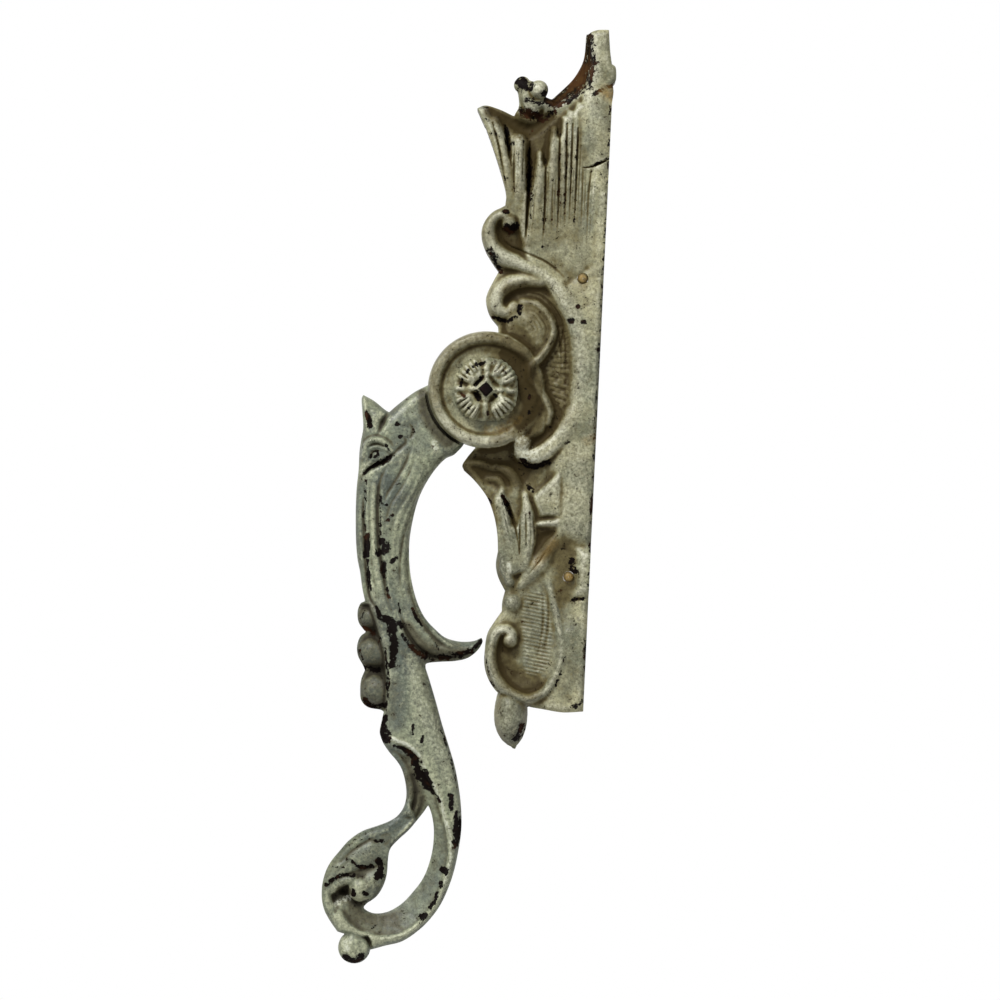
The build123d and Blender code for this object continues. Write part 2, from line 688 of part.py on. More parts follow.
loop = [
    (-9.2, -103.2, 10.4, hub_back + 3.2, hub_front + 4.6),
    (-6.4, -109.0, 8.8, hub_back + 3.2, hub_front + 4.6),
    (-5.2, -115.4, 7.8, hub_back + 3.2, hub_front + 4.6),
    (-5.2, -123.4, 7.2, hub_back + 3.2, hub_front + 4.6),
    (-7.2, -131.4, 7.8, hub_back + 3.2, hub_front + 4.6),
    (-10.8, -138.0, 8.8, hub_back + 3.2, hub_front + 4.6),
    (-16.6, -143.0, 9.8, hub_back + 3.2, hub_front + 4.6),
    (-23.8, -145.0, 9.8, hub_back + 3.2, hub_front + 4.6),
    (-30.4, -142.4, 9.2, hub_back + 3.2, hub_front + 4.6),
    (-34.0, -136.6, 7.2, hub_back + 3.2, hub_front + 4.6),
    (-33.6, -130.8, 6.4, hub_back + 3.2, hub_front + 4.4),
]
hook = [
    (-17.6, -60.0, 7.0, hub_back + 1.2, hub_front + 3.2),
    (-14.6, -64.8, 7.6, hub_back + 1.4, hub_front + 3.0),
    (-10.2, -69.0, 7.8, hub_back + 1.4, hub_front + 2.8),
    (-4.0, -70.0, 5.6, hub_back + 1.6, hub_front + 2.0),
    (0.2, -68.6, 3.4, hub_back + 1.8, hub_front + 1.2),
    (1.8, -67.8, 1.8, hub_back + 2.2, hub_front + 0.6),
]
stalk = [
    (-18.2, -95.0, 7.0, hub_back + 3.0, hub_front + 2.6),
    (-15.2, -102.0, 7.4, hub_back + 3.0, hub_front + 2.6),
    (-13.6, -108.4, 6.4, hub_back + 3.2, hub_front + 2.6),
    (-15.0, -113.6, 6.2, hub_back + 3.2, hub_front + 2.8),
    (-19.4, -118.2, 7.4, hub_back + 3.2, hub_front + 3.4),
    (-24.6, -123.0, 11.2, hub_back + 2.8, hub_front + 4.2),
    (-28.4, -128.6, 14.4, hub_back + 2.6, hub_front + 4.6),
    (-30.4, -133.6, 11.4, hub_back + 2.8, hub_front + 4.2),
    (-31.0, -137.0, 5.6, hub_back + 3.6, hub_front + 3.0),
]
horn = [
    (-24.6, -14.0, 10.0, hub_back + 0.2, hub_front + 1.4),
    (-28.8, -9.0, 7.0, hub_back + 0.6, hub_front + 1.2),
    (-31.4, -5.6, 3.6, hub_back + 1.0, hub_front + 0.8),
    (-32.8, -3.6, 1.2, hub_back + 1.8, hub_front + 0.2),
]
with BuildPart() as lever:
    with BuildSketch(front(hub_back)):
        Circle(HUB_RADIUS)
    extrude(amount=HUB_THICKNESS)
    add([limb(arm), limb(loop), limb(hook), limb(stalk), limb(horn)])
    add(
        [
            ball(-28.6, -62.6, hub_front, 3.4),
            ball(-28.2, -70.8, hub_front + 0.4, 3.8),
            ball(-25.8, -80.6, hub_front + 0.8, 5.0),
            ball(-28.0, -150.6, hub_front + 1.0, 3.9),
        ]
    )
    with BuildSketch(front(hub_back)):
        Rectangle(SPINDLE_SQUARE + 2 * BORE_RUN, SPINDLE_SQUARE + 2 * BORE_RUN)
    extrude(amount=HUB_THICKNESS, mode=Mode.SUBTRACT)
lever.part.label = "lever"

os.makedirs("parts", exist_ok=True)
for piece in (
    case,
    back_plate,
    back_plate_screws,
    spindle,
    pinion,
    idler_pinion,
    idler_pin,
    upper_rack,
    lower_rack,
    thrust_washer,
    rosette,
    lever,
):
    export_step(piece.part, f"parts/{piece.part.label}.step")
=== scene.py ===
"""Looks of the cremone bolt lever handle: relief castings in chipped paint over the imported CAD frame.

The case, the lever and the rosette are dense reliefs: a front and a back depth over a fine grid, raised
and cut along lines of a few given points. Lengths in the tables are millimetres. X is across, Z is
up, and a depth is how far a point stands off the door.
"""

from math import cos, pi, radians, sin, sqrt

import bpy
import numpy as np
from mathutils import Matrix, Vector
from mathutils.bvhtree import BVHTree


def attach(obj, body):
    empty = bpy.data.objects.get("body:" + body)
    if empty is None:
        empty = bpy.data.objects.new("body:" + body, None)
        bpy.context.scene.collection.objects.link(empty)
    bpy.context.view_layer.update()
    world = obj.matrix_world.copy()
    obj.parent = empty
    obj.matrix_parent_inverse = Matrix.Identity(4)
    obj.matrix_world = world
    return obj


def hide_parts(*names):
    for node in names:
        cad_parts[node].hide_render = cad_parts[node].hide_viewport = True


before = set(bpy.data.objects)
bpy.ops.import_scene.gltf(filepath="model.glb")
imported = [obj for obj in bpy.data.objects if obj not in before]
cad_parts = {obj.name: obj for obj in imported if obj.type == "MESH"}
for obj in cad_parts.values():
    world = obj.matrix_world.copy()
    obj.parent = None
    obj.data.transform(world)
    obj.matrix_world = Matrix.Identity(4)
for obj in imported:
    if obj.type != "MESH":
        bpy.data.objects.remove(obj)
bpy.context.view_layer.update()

# Grid of the reliefs, and the wear, painted shade and painted highlight that their points carry for the paint
MM = 0.001
STEP = 0.25
WALL_ROWS = 5
OUTSIDE = -9.0
LEAST_FRONT = 0.3
THINNEST = 0.05
SHARP_ANGLE = 60
RAY_START = 5.0
FILL_ROUNDS = 12
WEAR = ("bare", "dirt_and_shade", "crest", "rust", "pale_and_highlight", "cool_and_shade")

# How crests wear and hollows darken, with soil and painted shade: reaches of the fine and broad comparison,
# full heights
FINE_REACH = 0.6
BROAD_REACH = 2.0
CREST_FINE = 0.3
CREST_BROAD = 2.2
CREST_MARGIN = 0.9
HOLLOW_FINE = 0.35
HOLLOW_BROAD = 1.8
HOLLOW_MARGIN = 1.8
HOLLOW_MOST = 0.8
DIRT_AND_SHADE_MOST = 1.3
REAR_DIRT = 0.4
REAR_RUST = 0.2
MARK_REACH = 3.2
BANK_EDGE = 1.1

# Depths off the door face that the castings share with the CAD solids
HUB_BACK = 5.1
HUB_FRONT = 9.9
CAP_BACK = 10.5
RIM_FRONT = 4.8
GROUND = 11.0
DISH = 13.0
RING_TOP = 16.0
ROSETTE_TOP = 18.3
NOTCH_DEPTH = 6.5

# Radii, squares and holes round the pivot, and the slot for the lever's arm in degrees
RING_RADIUS = 15.6
RING_INNER_RADIUS = 12.2
RIM_WALL = 1.5
HUB_RADIUS = 13.4
ROSETTE_RADIUS = 9.0
ROSETTE_RIBS = 26
TANG_SQUARE = 2.6
SPINDLE_SQUARE = 6.0
SPINDLE_HOLE_RADIUS = 2.95
ARM_CLEARANCE = 0.7
ARM_RAMP = 0.5
ARM_FREE = 30
SLOT_START = 84
SLOT_END = 250
SLOT_REACH = 1.4

# Fixing screws on the straight side
SCREW_HOLES = [(24.4, 30.9), (24.4, -49.0)]
SCREW_HOLE_RADIUS = 1.5
SCREW_RADIUS = 1.42
SCREW_LENGTH = 6.0

# Camera
PHOTO_WIDTH = 268.0
CAMERA_DISTANCE = 1500.0
VIEW_CENTRE = (5.1, 8.0, -29.3)
TILT = 2.7
SENSOR = 36.0

# Stage and lights in metres and watts: name, place, size and power
FLOOR_HALF = 0.28
FLOOR_Z = -0.225
AMBIENT = 0.16
LIGHT_AIM = (0.0, 0.0, -0.03)
LIGHTS = [
    ("key", (-0.45, -0.70, 0.85), 0.5, 18),
    ("fill", (-0.8, -0.9, 0.1), 0.9, 2.5),
    ("side", (0.9, -0.7, 0.2), 0.8, 2.0),
]


# Lines, profiles and reliefs


def smooth_line(points, per_span=6):
    """A smooth line through the points, as an array of samples."""
    marks = np.array(points, float)
    ends = np.vstack([2 * marks[0] - marks[1], marks, 2 * marks[-1] - marks[-2]])
    t = np.linspace(0, 1, per_span, endpoint=False)[:, None]
    spans = []
    for a, b, c, d in zip(ends, ends[1:], ends[2:], ends[3:]):
        spans.append(b + 0.5 * t * (c - a + t * (2 * a - 5 * b + 4 * c - d + t * (3 * (b - c) + d - a))))
    return np.vstack(spans + [marks[-1:]])


def closed_outline(pieces):
    """Smooth pieces that meet in corners, joined end to end into one loop."""
    return np.vstack([smooth_line(piece)[:-1] for piece in pieces])


def spread(values, shares):
    """Values given at even steps along a line, read at these shares of its length."""
    listed = np.ravel(values).astype(float)
    return np.interp(shares, np.linspace(0, 1, len(listed)), listed)


def beside(points, shift):
    """The same line moved sideways, to its left if the shift is positive."""
    line = smooth_line(points, 2)
    heading = np.gradient(line, axis=0)
    heading /= np.hypot(heading[:, :1], heading[:, 1:])
    return line + shift * np.stack([-heading[:, 1], heading[:, 0]], 1)


def spot(x, z):
    """A line too short to see, for round forms."""
    return [(x, z), (x + 0.01, z)]


def smooth_step(value):
    share = np.clip(value, 0, 1)
    return share * share * (3 - 2 * share)


def round_top(across):
    return np.sqrt(np.clip(1 - across * across, 0, 1))


def plump_top(across):
    return np.sqrt(np.clip(1 - np.abs(across) ** 3.5, 0, 1))


def bell(across):
    return 0.5 + 0.5 * np.cos(pi * np.clip(across, 0, 1))


def mound(across):
    return np.clip(1 - across * across, 0, 1)


def ridge_top(across):
    return np.clip(1 - across, 0, 1)


def smooth_max(a, b, soft):
    return 0.5 * (a + b + np.sqrt((a - b) ** 2 + soft * soft))


def blur(field, weight, reach):
    """Gaussian blur of a field over the inside of a casting only."""
    cells = np.arange(-int(3 * reach / STEP), int(3 * reach / STEP) + 1)
    kernel = np.exp(-0.5 * (cells * STEP / reach) ** 2)
    kernel /= kernel.sum()

    def smear(values):
        rows = np.apply_along_axis(np.convolve, 0, values, kernel, "same")
        return np.apply_along_axis(np.convolve, 1, rows, kernel, "same")

    return smear(field * weight) / np.maximum(smear(weight), 1e-3)


class Relief:
    """A casting over a grid in X and Z: front and back depth, distance inside its outline, and wear, with
    painted shade and highlight.
    """

    def __init__(self, low, high):
        columns = np.arange(low[0], high[0], STEP)
        rows = np.arange(low[1], high[1], STEP)
        self.x, self.z = np.meshgrid(columns, rows)
        self.front = np.zeros_like(self.x)
        self.back = np.zeros_like(self.x)
        self.inside = np.full_like(self.x, OUTSIDE)
        self.wear = {kind: np.zeros_like(self.x) for kind in WEAR}

    def outline(self, loop):
        """Distance to a closed outline, positive inside."""
        nearest = np.full_like(self.x, 1e9)
        crossings = np.zeros(self.x.shape, int)
        for (ax, az), (bx, bz) in zip(loop, np.roll(loop, -1, axis=0)):
            dx, dz = bx - ax, bz - az
            length = dx * dx + dz * dz
            if length < 1e-9:
                continue
            t = np.clip(((self.x - ax) * dx + (self.z - az) * dz) / length, 0, 1)
            nearest = np.minimum(nearest, (self.x - ax - t * dx) ** 2 + (self.z - az - t * dz) ** 2)
            if az != bz:
                spans = (self.z >= min(az, bz)) & (self.z < max(az, bz))
                crossings += spans & (self.x < ax + dx * (self.z - az) / dz)
        return np.sqrt(nearest) * np.where(crossings % 2, 1, -1)

    def join(self, distance):
        self.inside = np.maximum(self.inside, distance)

    def disc(self, x, z, radius):
        return radius - np.hypot(self.x - x, self.z - z)

    def stroke(self, points, width, reach=2.2):
        """The grid near a line: its window, and for each point the signed share across and the share along.

        A share across of 1 is one half-width from the line; it is positive on the line's left.
        """
        line = smooth_line(points)
        shares = np.linspace(0, 1, len(line))
        halves = spread(width, shares)
        margin = reach * halves.max()
        low, high = line.min(axis=0) - margin, line.max(axis=0) + margin
        columns = np.flatnonzero((self.x[0] > low[0]) & (self.x[0] < high[0]))
        rows = np.flatnonzero((self.z[:, 0] > low[1]) & (self.z[:, 0] < high[1]))
        window = (slice(rows[0], rows[-1] + 1), slice(columns[0], columns[-1] + 1))
        x, z = self.x[window], self.z[window]
        across = np.full(x.shape, 9.0)
        along = np.zeros(x.shape)
        for i in range(len(line) - 1):
            (ax, az), (bx, bz) = line[i], line[i + 1]
            dx, dz = bx - ax, bz - az
            t = np.clip(((x - ax) * dx + (z - az) * dz) / max(dx * dx + dz * dz, 1e-9), 0, 1)
            half = halves[i] + (halves[i + 1] - halves[i]) * t
            share = np.hypot(x - ax - t * dx, z - az - t * dz) / half
            closer = share < np.abs(across)
            left = np.where(dx * (z - az) - dz * (x - ax) > 0, 1, -1)
            across = np.where(closer, share * left, across)
            along = np.where(closer, shares[i] + (shares[i + 1] - shares[i]) * t, along)
        return window, across, along

    def limb(self, points, width):
        """Joins a limb of that half-width to the outline."""
        window, across, along = self.stroke(points, width)
        self.inside[window] = np.maximum(self.inside[window], (1 - np.abs(across)) * spread(width, along))

    def rise(self, points, width, top, foot, profile=round_top, soft=0.3):
        """Raises a line of that half-width from foot to top depth."""
        window, across, along = self.stroke(points, width)
        share = np.abs(across)
        height = foot + (spread(top, along) - foot) * profile(share)
        here = self.front[window]
        lifted = smooth_max(here, height, soft) - 0.25 * soft
        self.front[window] = np.where(share < 1, np.maximum(lifted, here), here)

    def dome(self, points, width, top, foot):
        """Puts a round form of that half-width in place of whatever the front was."""
        window, across, along = self.stroke(points, width)
        height = foot + (spread(top, along) - foot) * round_top(across)
        self.front[window] = np.where(np.abs(across) < 1.1, height, self.front[window])

    def ball(self, x, z, radius, top, foot, profile=round_top):
        self.rise(spot(x, z), radius, top, foot, profile)

    def cut(self, points, width, depth):
        """Cuts a groove of that half-width and depth along a line."""
        window, across, along = self.stroke(points, width)
        self.front[window] -= spread(depth, along) * bell(np.abs(across))

    def bank(self, points, edge, drop, slope, reach):
        """Lowers the ground on the right of a line: a sharp drop from its edge depth, then a slope."""
        window, across, along = self.stroke(points, 1.0, reach)
        gap = np.clip(-across, 0, reach)
        height = spread(edge, along) - drop * smooth_step(gap / BANK_EDGE) - slope * gap
        lower = (across < 0) & (across > -reach)
        self.front[window] = np.where(lower, np.minimum(self.front[window], height), self.front[window])

    def level(self, points, depth, edge, tilt=(0, 0), per_span=1):
        """Brings the front inside a loop to one depth, with a sloping edge; tilt slopes it across and up."""
        share = smooth_step(self.outline(smooth_line(list(points) + [points[0]], per_span)[:-1]) / edge)
        x, z = np.mean(points, axis=0)
        target = depth + tilt[0] * (self.x - x) + tilt[1] * (self.z - z)
        self.front = self.front + share * (target - self.front)

    def mark(self, kind, points, width, strength):
        """One kind of wear along a line: full near the line, and gone at 2.7 times its half-width.

        Bare is paint that is gone; the paler kind is paint thinned by use and also painted highlight; the
        soil kind also carries painted shade; and the grey kind is paint gone grey, and on the lever's stem
        and stalk painted shade.
        """
        window, across, _ = self.stroke(points, width, MARK_REACH)
        field = self.wear[kind]
        field[window] = np.maximum(field[window], strength * np.clip(1.35 - 0.5 * np.abs(across), 0, 1))

    def marks(self, kind, rows):
        for points, width, strength in rows:
            self.mark(kind, points, width, strength)

    def soften(self, reach):
        """Blurs the front, for the soft edges that a casting from a well-used pattern has."""
        self.front = blur(self.front, (self.inside > -1).astype(float), reach)

    def roughen(self, seed, amount):
        """Uneven casting and thick paint over the whole front."""
        noise = np.random.default_rng(seed).standard_normal(self.x.shape)
        for reach, share in ((1.3, 1.0), (0.4, 0.45)):
            cloud = blur(noise, np.ones_like(self.x), reach)
            self.front += amount * share * cloud / cloud.std()

    def round_edge(self, radius):
        """Rounds the front towards the outline."""
        near = np.clip(self.inside, 0, radius)
        self.front -= radius - np.sqrt(radius * radius - (radius - near) ** 2)

    def take_back(self, node):
        """Takes the back from a CAD solid by rays from behind; where a ray misses, its neighbours count."""
        solid = BVHTree.FromObject(node, bpy.context.evaluated_depsgraph_get())
        self.back[:] = np.nan
        for index in np.ndindex(self.x.shape):
            if self.inside[index] < -1:
                continue
            start = Vector((self.x[index] * MM, RAY_START * MM, self.z[index] * MM))
            hit = solid.ray_cast(start, Vector((0, -1, 0)))[0]
            if hit is not None:
                self.back[index] = max(0, -hit.y / MM)
        for _ in range(FILL_ROUNDS):
            beyond = np.pad(self.back, 1, constant_values=np.nan)
            around = np.stack([beyond[:-2, 1:-1], beyond[2:, 1:-1], beyond[1:-1, :-2], beyond[1:-1, 2:]])
            found = np.isfinite(around)
            nearby = np.where(found, around, 0).sum(axis=0) / np.maximum(found.sum(axis=0), 1)
            self.back = np.where(np.isnan(self.back) & found.any(axis=0), nearby, self.back)
        self.back = np.nan_to_num(self.back)

    def sample(self, field, x, z):
        """Values of a field between the grid points."""
        column = np.clip((x - self.x[0, 0]) / STEP, 0, self.x.shape[1] - 1.001)
        row = np.clip((z - self.z[0, 0]) / STEP, 0, self.x.shape[0] - 1.001)
        i, j = row.astype(int), column.astype(int)
        u, v = row - i, column - j
        low = field[i, j] * (1 - v) + field[i, j + 1] * v
        high = field[i + 1, j] * (1 - v) + field[i + 1, j + 1] * v
        return low * (1 - u) + high * u

    def mesh(self, name, rear_bare):
        """The casting as one closed mesh, its wear and painted light on the points; rear_bare is how bare its
        back is.
        """
        corner = self.inside > 0
        cell = corner[:-1, :-1] | corner[1:, :-1] | corner[:-1, 1:] | corner[1:, 1:]
        used = np.zeros_like(corner)
        for rows in (slice(None, -1), slice(1, None)):
            for columns in (slice(None, -1), slice(1, None)):
                used[rows, columns] |= cell
        slope_z, slope_x = np.gradient(self.inside, STEP)
        steep = np.maximum(slope_x ** 2 + slope_z ** 2, 0.3)
        shift = np.where(used & ~corner, np.minimum(-self.inside, 1.4 * STEP), 0) / steep
        x, z = (self.x + shift * slope_x)[used], (self.z + shift * slope_z)[used]
        front = np.maximum(self.sample(self.front, x, z), LEAST_FRONT)
        back = np.minimum(self.sample(self.back, x, z), front - THINNEST)

        weight = corner.astype(float)
        fine = self.front - blur(self.front, weight, FINE_REACH)
        broad = self.front - blur(self.front, weight, BROAD_REACH)
        within = smooth_step(self.inside / CREST_MARGIN)
        crest = within * np.clip(fine / CREST_FINE + broad / CREST_BROAD, 0, 1)
        # Darker in hollows: soil, and painted shade in the recesses as well
        hollow = np.clip(-broad / HOLLOW_BROAD, 0, HOLLOW_MOST) + np.clip(-fine / HOLLOW_FINE, 0, HOLLOW_MOST)
        cavity = smooth_step(self.inside / HOLLOW_MARGIN) * hollow
        fields = dict(self.wear, crest=crest, dirt_and_shade=np.clip(cavity + self.wear["dirt_and_shade"], 0, DIRT_AND_SHADE_MOST))
        worn_and_lit = {kind: self.sample(fields[kind], x, z) for kind in WEAR}

        count = len(x)
        number = np.full(corner.shape, -1)
        number[used] = np.arange(count)
        a, b = number[:-1, :-1][cell], number[:-1, 1:][cell]
        c, d = number[1:, 1:][cell], number[1:, :-1][cell]
        faces = [np.stack([a, b, c, d], 1), np.stack([d, c, b, a], 1) + count]

        around = np.pad(cell, 1)
        inner = around[1:-1, 1:-1]
        sides = [
            (number[:-1, :-1], number[:-1, 1:], around[:-2, 1:-1]),
            (number[:-1, 1:], number[1:, 1:], around[1:-1, 2:]),
            (number[1:, 1:], number[1:, :-1], around[2:, 1:-1]),
            (number[1:, :-1], number[:-1, :-1], around[1:-1, :-2]),
        ]
        starts = np.concatenate([start[inner & ~beyond] for start, _, beyond in sides])
        ends = np.concatenate([end[inner & ~beyond] for _, end, beyond in sides])
        rim, place = np.unique(np.concatenate([starts, ends]), return_inverse=True)
        start_at, end_at = place[: len(starts)], place[len(starts):]

        points = [np.stack([x, -front, z], 1), np.stack([x, -back, z], 1)]
        rear = {"bare": rear_bare, "dirt_and_shade": REAR_DIRT, "rust": REAR_RUST}
        wear = [np.stack([worn_and_lit[kind] for kind in WEAR], 1)]
        wear.append(np.tile([rear.get(kind, 0.0) for kind in WEAR], (count, 1)))
        none = np.zeros(len(rim))
        upper_start, upper_end = starts, ends
        for row in range(1, WALL_ROWS + 1):
            share = row / WALL_ROWS
            if row == WALL_ROWS:
                lower_start, lower_end = starts + count, ends + count
            else:
                base = 2 * count + (row - 1) * len(rim)
                lower_start, lower_end = base + start_at, base + end_at
                depth = front[rim] + (back[rim] - front[rim]) * share
                points.append(np.stack([x[rim], -depth, z[rim]], 1))
                wall = {
                    "bare": worn_and_lit["bare"][rim] * (1 - share) + share * share * 0.6 * rear_bare,
                    "dirt_and_shade": none + 0.1 + 0.6 * share,
                    "cool_and_shade": worn_and_lit["cool_and_shade"][rim],
                }
                wear.append(np.stack([wall.get(kind, none) for kind in WEAR], 1))
            faces.append(np.stack([upper_end, upper_start, lower_start, lower_end], 1))
            upper_start, upper_end = lower_start, lower_end
        return build_mesh(name, np.concatenate(points), np.concatenate(faces), np.concatenate(wear))


def build_mesh(name, points, faces, wear):
    """A smooth-shaded mesh of quads; wear is the share of each of WEAR for each point."""
    mesh = bpy.data.meshes.new(name)
    mesh.vertices.add(len(points))
    mesh.vertices.foreach_set("co", (points * MM).astype(np.float32).ravel())
    mesh.loops.add(4 * len(faces))
    mesh.loops.foreach_set("vertex_index", faces.astype(np.int32).ravel())
    mesh.polygons.add(len(faces))
    mesh.polygons.foreach_set("loop_start", np.arange(0, 4 * len(faces), 4, dtype=np.int32))
    mesh.update(calc_edges=True)
    mesh.validate()
    for column, title in enumerate(WEAR):
        layer = mesh.attributes.new(title, "FLOAT", "POINT")
        layer.data.foreach_set("value", wear[:, column].astype(np.float32))
    mesh.shade_smooth()
    mesh.set_sharp_from_angle(angle=radians(SHARP_ANGLE))
    made = bpy.data.objects.new(name, mesh)
    bpy.context.scene.collection.objects.link(made)
    return made


def rim_mesh():
    """The low rim wall that closes the ring's lower edge under the lever's arm."""
    sides = 60
    inner = RING_RADIUS - RIM_WALL
    section = [(inner, 0.0), (RING_RADIUS, 0.0), (RING_RADIUS, RIM_FRONT), (inner, RIM_FRONT)]
    points, faces = [], []
    for i in range(sides + 1):
        angle = radians(SLOT_START + (SLOT_END - SLOT_START) * i / sides)
        points += [(r * cos(angle), -depth, r * sin(angle)) for r, depth in section]
    for i in range(sides):
        for k in range(4):
            a, b = 4 * i + k, 4 * i + (k + 1) % 4
            faces.append((a, b, b + 4, a + 4))
    faces += [(3, 2, 1, 0), tuple(4 * sides + k for k in range(4))]
    wear = np.tile([0.6, 0.6, 0.0, 0.0, 0.0, 0.0], (len(points), 1))
    return build_mesh("case_rim", np.array(points), np.array(faces), wear)


def screw_end(name, x, z, depth):
    """The rusty end of a fixing screw that fills its painted-over hole in the case."""
    sides = 24
    drops = [(0.05, 0.0), (0.7, 0.05), (1.1, 0.2), (SCREW_RADIUS, 0.4), (SCREW_RADIUS, SCREW_LENGTH)]
    rusty = (0.0, 0.2, 0.0, 1.2, 0.0, 0.0)
    darkening = (0.25, 0.9, 0.0, 0.4, 0.0, 0.0)
    points, wear, faces = [], [], []
    for r, drop in drops:
        for k in range(sides):
            angle = 2 * pi * k / sides
            points.append((x + r * cos(angle), drop - depth, z + r * sin(angle)))
        wear += [rusty if r < 1 else darkening] * sides
    for i in range(len(drops) - 1):
        for k in range(sides):
            a, b = i * sides + k, i * sides + (k + 1) % sides
            faces.append((a, a + sides, b + sides, b))
    return build_mesh(name, np.array(points), np.array(faces), np.array(wear))


# Case

case = Relief((-18.0, -99.0), (33.0, 101.0))

notch = [(13.9, 78.8), (16.5, 81.4), (19.4, 84.6), (21.4, 88.2), (22.2, 91.3), (22.4, 96.4)]
case_pieces = [
    [(22.4, 96.4), (25.2, 97.5), (28.3, 97.7)],
    [(28.3, 97.7), (28.9, 92.0), (29.5, 88.6)],
    [(29.5, 88.6), (30.6, 87.6), (30.8, 84.5), (30.0, 83.2)],
    [(30.0, 83.2), (30.3, 81.0), (30.0, 78.0)],
    [(30.0, 78.0), (30.0, -84.8)],
    [(30.0, -84.8), (24.7, -85.3), (20.0, -84.8), (15.0, -84.2), (11.0, -83.2)],
    [(11.0, -83.2), (7.4, -81.3), (4.7, -78.2), (3.1, -74.2), (2.9, -69.8), (3.4, -65.4), (5.2, -62.0),
     (7.0, -59.2)],
    [(7.0, -59.2), (7.0, -56.6), (7.6, -53.6)],
    [(7.6, -53.6), (5.6, -50.0), (4.8, -46.6), (5.2, -43.0)],
    [(5.2, -43.0), (4.8, -38.5), (3.7, -33.6), (1.6, -28.7), (-1.8, -24.6), (-4.9, -21.9)],
    [(-4.9, -21.9), (-5.4, -20.4), (-4.0, -18.0)],
    [(-4.0, -18.0), (4.0, -6.0), (2.4, 17.2)],
    [(2.4, 17.2), (0.1, 19.9), (-1.1, 23.3), (-0.9, 25.7), (0.5, 29.0), (1.9, 31.8)],
    [(1.9, 31.8), (0.0, 34.3), (-2.0, 37.5), (-3.2, 41.2), (-2.7, 44.4), (-0.6, 47.4), (2.8, 49.4)],
    [(2.8, 49.4), (2.9, 52.5), (1.8, 56.6), (-0.7, 63.6), (-3.2, 69.6), (-5.9, 75.0)],
    [(-5.9, 75.0), (-3.8, 76.1), (-0.2, 75.3), (4.0, 73.6)],
    [(4.0, 73.6), (5.2, 76.4), (4.8, 80.0)],
    [(4.8, 80.0), (8.0, 80.4), (11.8, 79.2), (13.9, 78.8)],
    notch + [(22.4, 96.41)],
]
case.join(case.outline(closed_outline(case_pieces)))
case.join(case.disc(0, 0, RING_RADIUS))
nub = (10.3, 80.9)
nub_arm = [(5.6, 82.0), (8.4, 81.0)]
knob_line = [(5.9, 82.4), (7.2, 79.8), (8.8, 76.4)]
case.join(case.disc(*nub, 2.5))
case.limb(nub_arm, 2.0)
case.limb(knob_line, [2.0, 2.3, 2.8])
bud_line = [(10.9, -80.6), (10.7, -85.0), (10.8, -89.0), (11.3, -92.4), (12.0, -95.4)]
bud_width = [3.4, 4.1, 4.4, 4.5, 4.4, 4.0, 3.3, 2.3, 1.2, 0.3]
case.limb(bud_line, bud_width)

# Ground: a sunk field on the left, and a plain band down the right side
# The band's depth and its left edge change with height
case.front[:] = GROUND - 1.2
side_heights = [-86, -66, -61, -57, -40, -36, -24, -18, -12, -8, 0, 20, 26, 30, 34, 40, 58, 62, 97]
side_depths = [
    11.6, 11.6, 10.8, 9.8, 9.8, 11.6, 11.7, 12.2, 12.8, 13.4, 13.7, 13.6, 13.0, 12.5, 12.2, 12.1, 12.1,
    12.1, 11.8,
]
side_edges = [19, 22, 22, 21, 20, 20.5, 20.5, 18.5, 20, 16, 14, 14, 15, 20, 25, 26, 25, 24, 22.5]
side_depth = np.interp(case.z, side_heights, side_depths)
side_share = smooth_step((case.x - np.interp(case.z, side_heights, side_edges)) / 3.0 + 0.5)
case.front += side_share * (side_depth - case.front)
scroll_field = [
    (8.0, 27.6), (13.6, 29.0), (18.6, 24.4), (22.2, 17.5), (23.4, 10.0), (23.6, 2.0), (22.6, -5.4),
    (20.4, -10.2), (16.8, -14.2), (12.4, -15.8), (6.0, -14.0), (4.0, 0.0), (4.0, 22.0),
]
case.level(scroll_field, GROUND - 0.2, 1.6, per_span=3)
case.level([(-6, -18), (13, -17), (14, -25), (5, -27), (-1, -25)], GROUND - 2.2, 2.5)
case.level([(5, -66), (9, -61), (13, -52), (19, -52), (22, -66), (19, -79), (9, -79)], GROUND - 2.0, 2.6)
case.soften(1.1)
case.round_edge(1.4)

# The bare notch at the top left slopes back from the face to the rear edge
window, across, _ = case.stroke(notch, [2.4, 3.4, 4.6, 3.4, 1.8, 1.4])
case.front[window] -= NOTCH_DEPTH * np.clip(1 - np.abs(across), 0, 1) ** 0.8

# Upper leaf: one plate with pointed ends, which runs under the large scroll
upper_leaf = [
    (1.4, 50.0), (-0.4, 57.0), (-2.4, 64.0), (-5.0, 70.0), (-8.0, 76.4), (-3.6, 75.8), (-0.7, 72.2),
    (2.2, 67.4), (3.5, 62.6), (4.3, 67.4), (5.8, 69.6), (7.5, 67.4), (8.0, 60.0), (8.5, 54.0), (9.4, 57.0),
    (10.0, 62.0), (11.4, 65.8), (12.7, 62.0), (13.2, 61.0), (13.6, 67.0), (14.9, 72.8), (16.1, 69.0),
    (16.7, 71.6), (18.2, 76.8), (19.3, 75.6), (20.8, 78.8), (22.2, 78.0), (23.6, 80.8), (27.0, 80.8),
    (32.0, 78.8), (32.0, 36.0), (26.0, 34.0), (22.0, 29.6), (17.0, 28.0), (12.5, 31.0), (9.0, 34.0),
    (7.4, 38.0), (6.8, 42.0), (5.6, 45.6), (1.0, 46.6),
]
case.level(upper_leaf, GROUND + 1.1, 1.2)
leaf = [(25.6, 78.8), (26.0, 74.0), (26.4, 68.0), (27.2, 62.8)]
case.rise(leaf, [3.4, 4.7, 4.7, 3.4], [13.0, 13.6, 13.5, 12.9], 11.6, mound, 0.6)
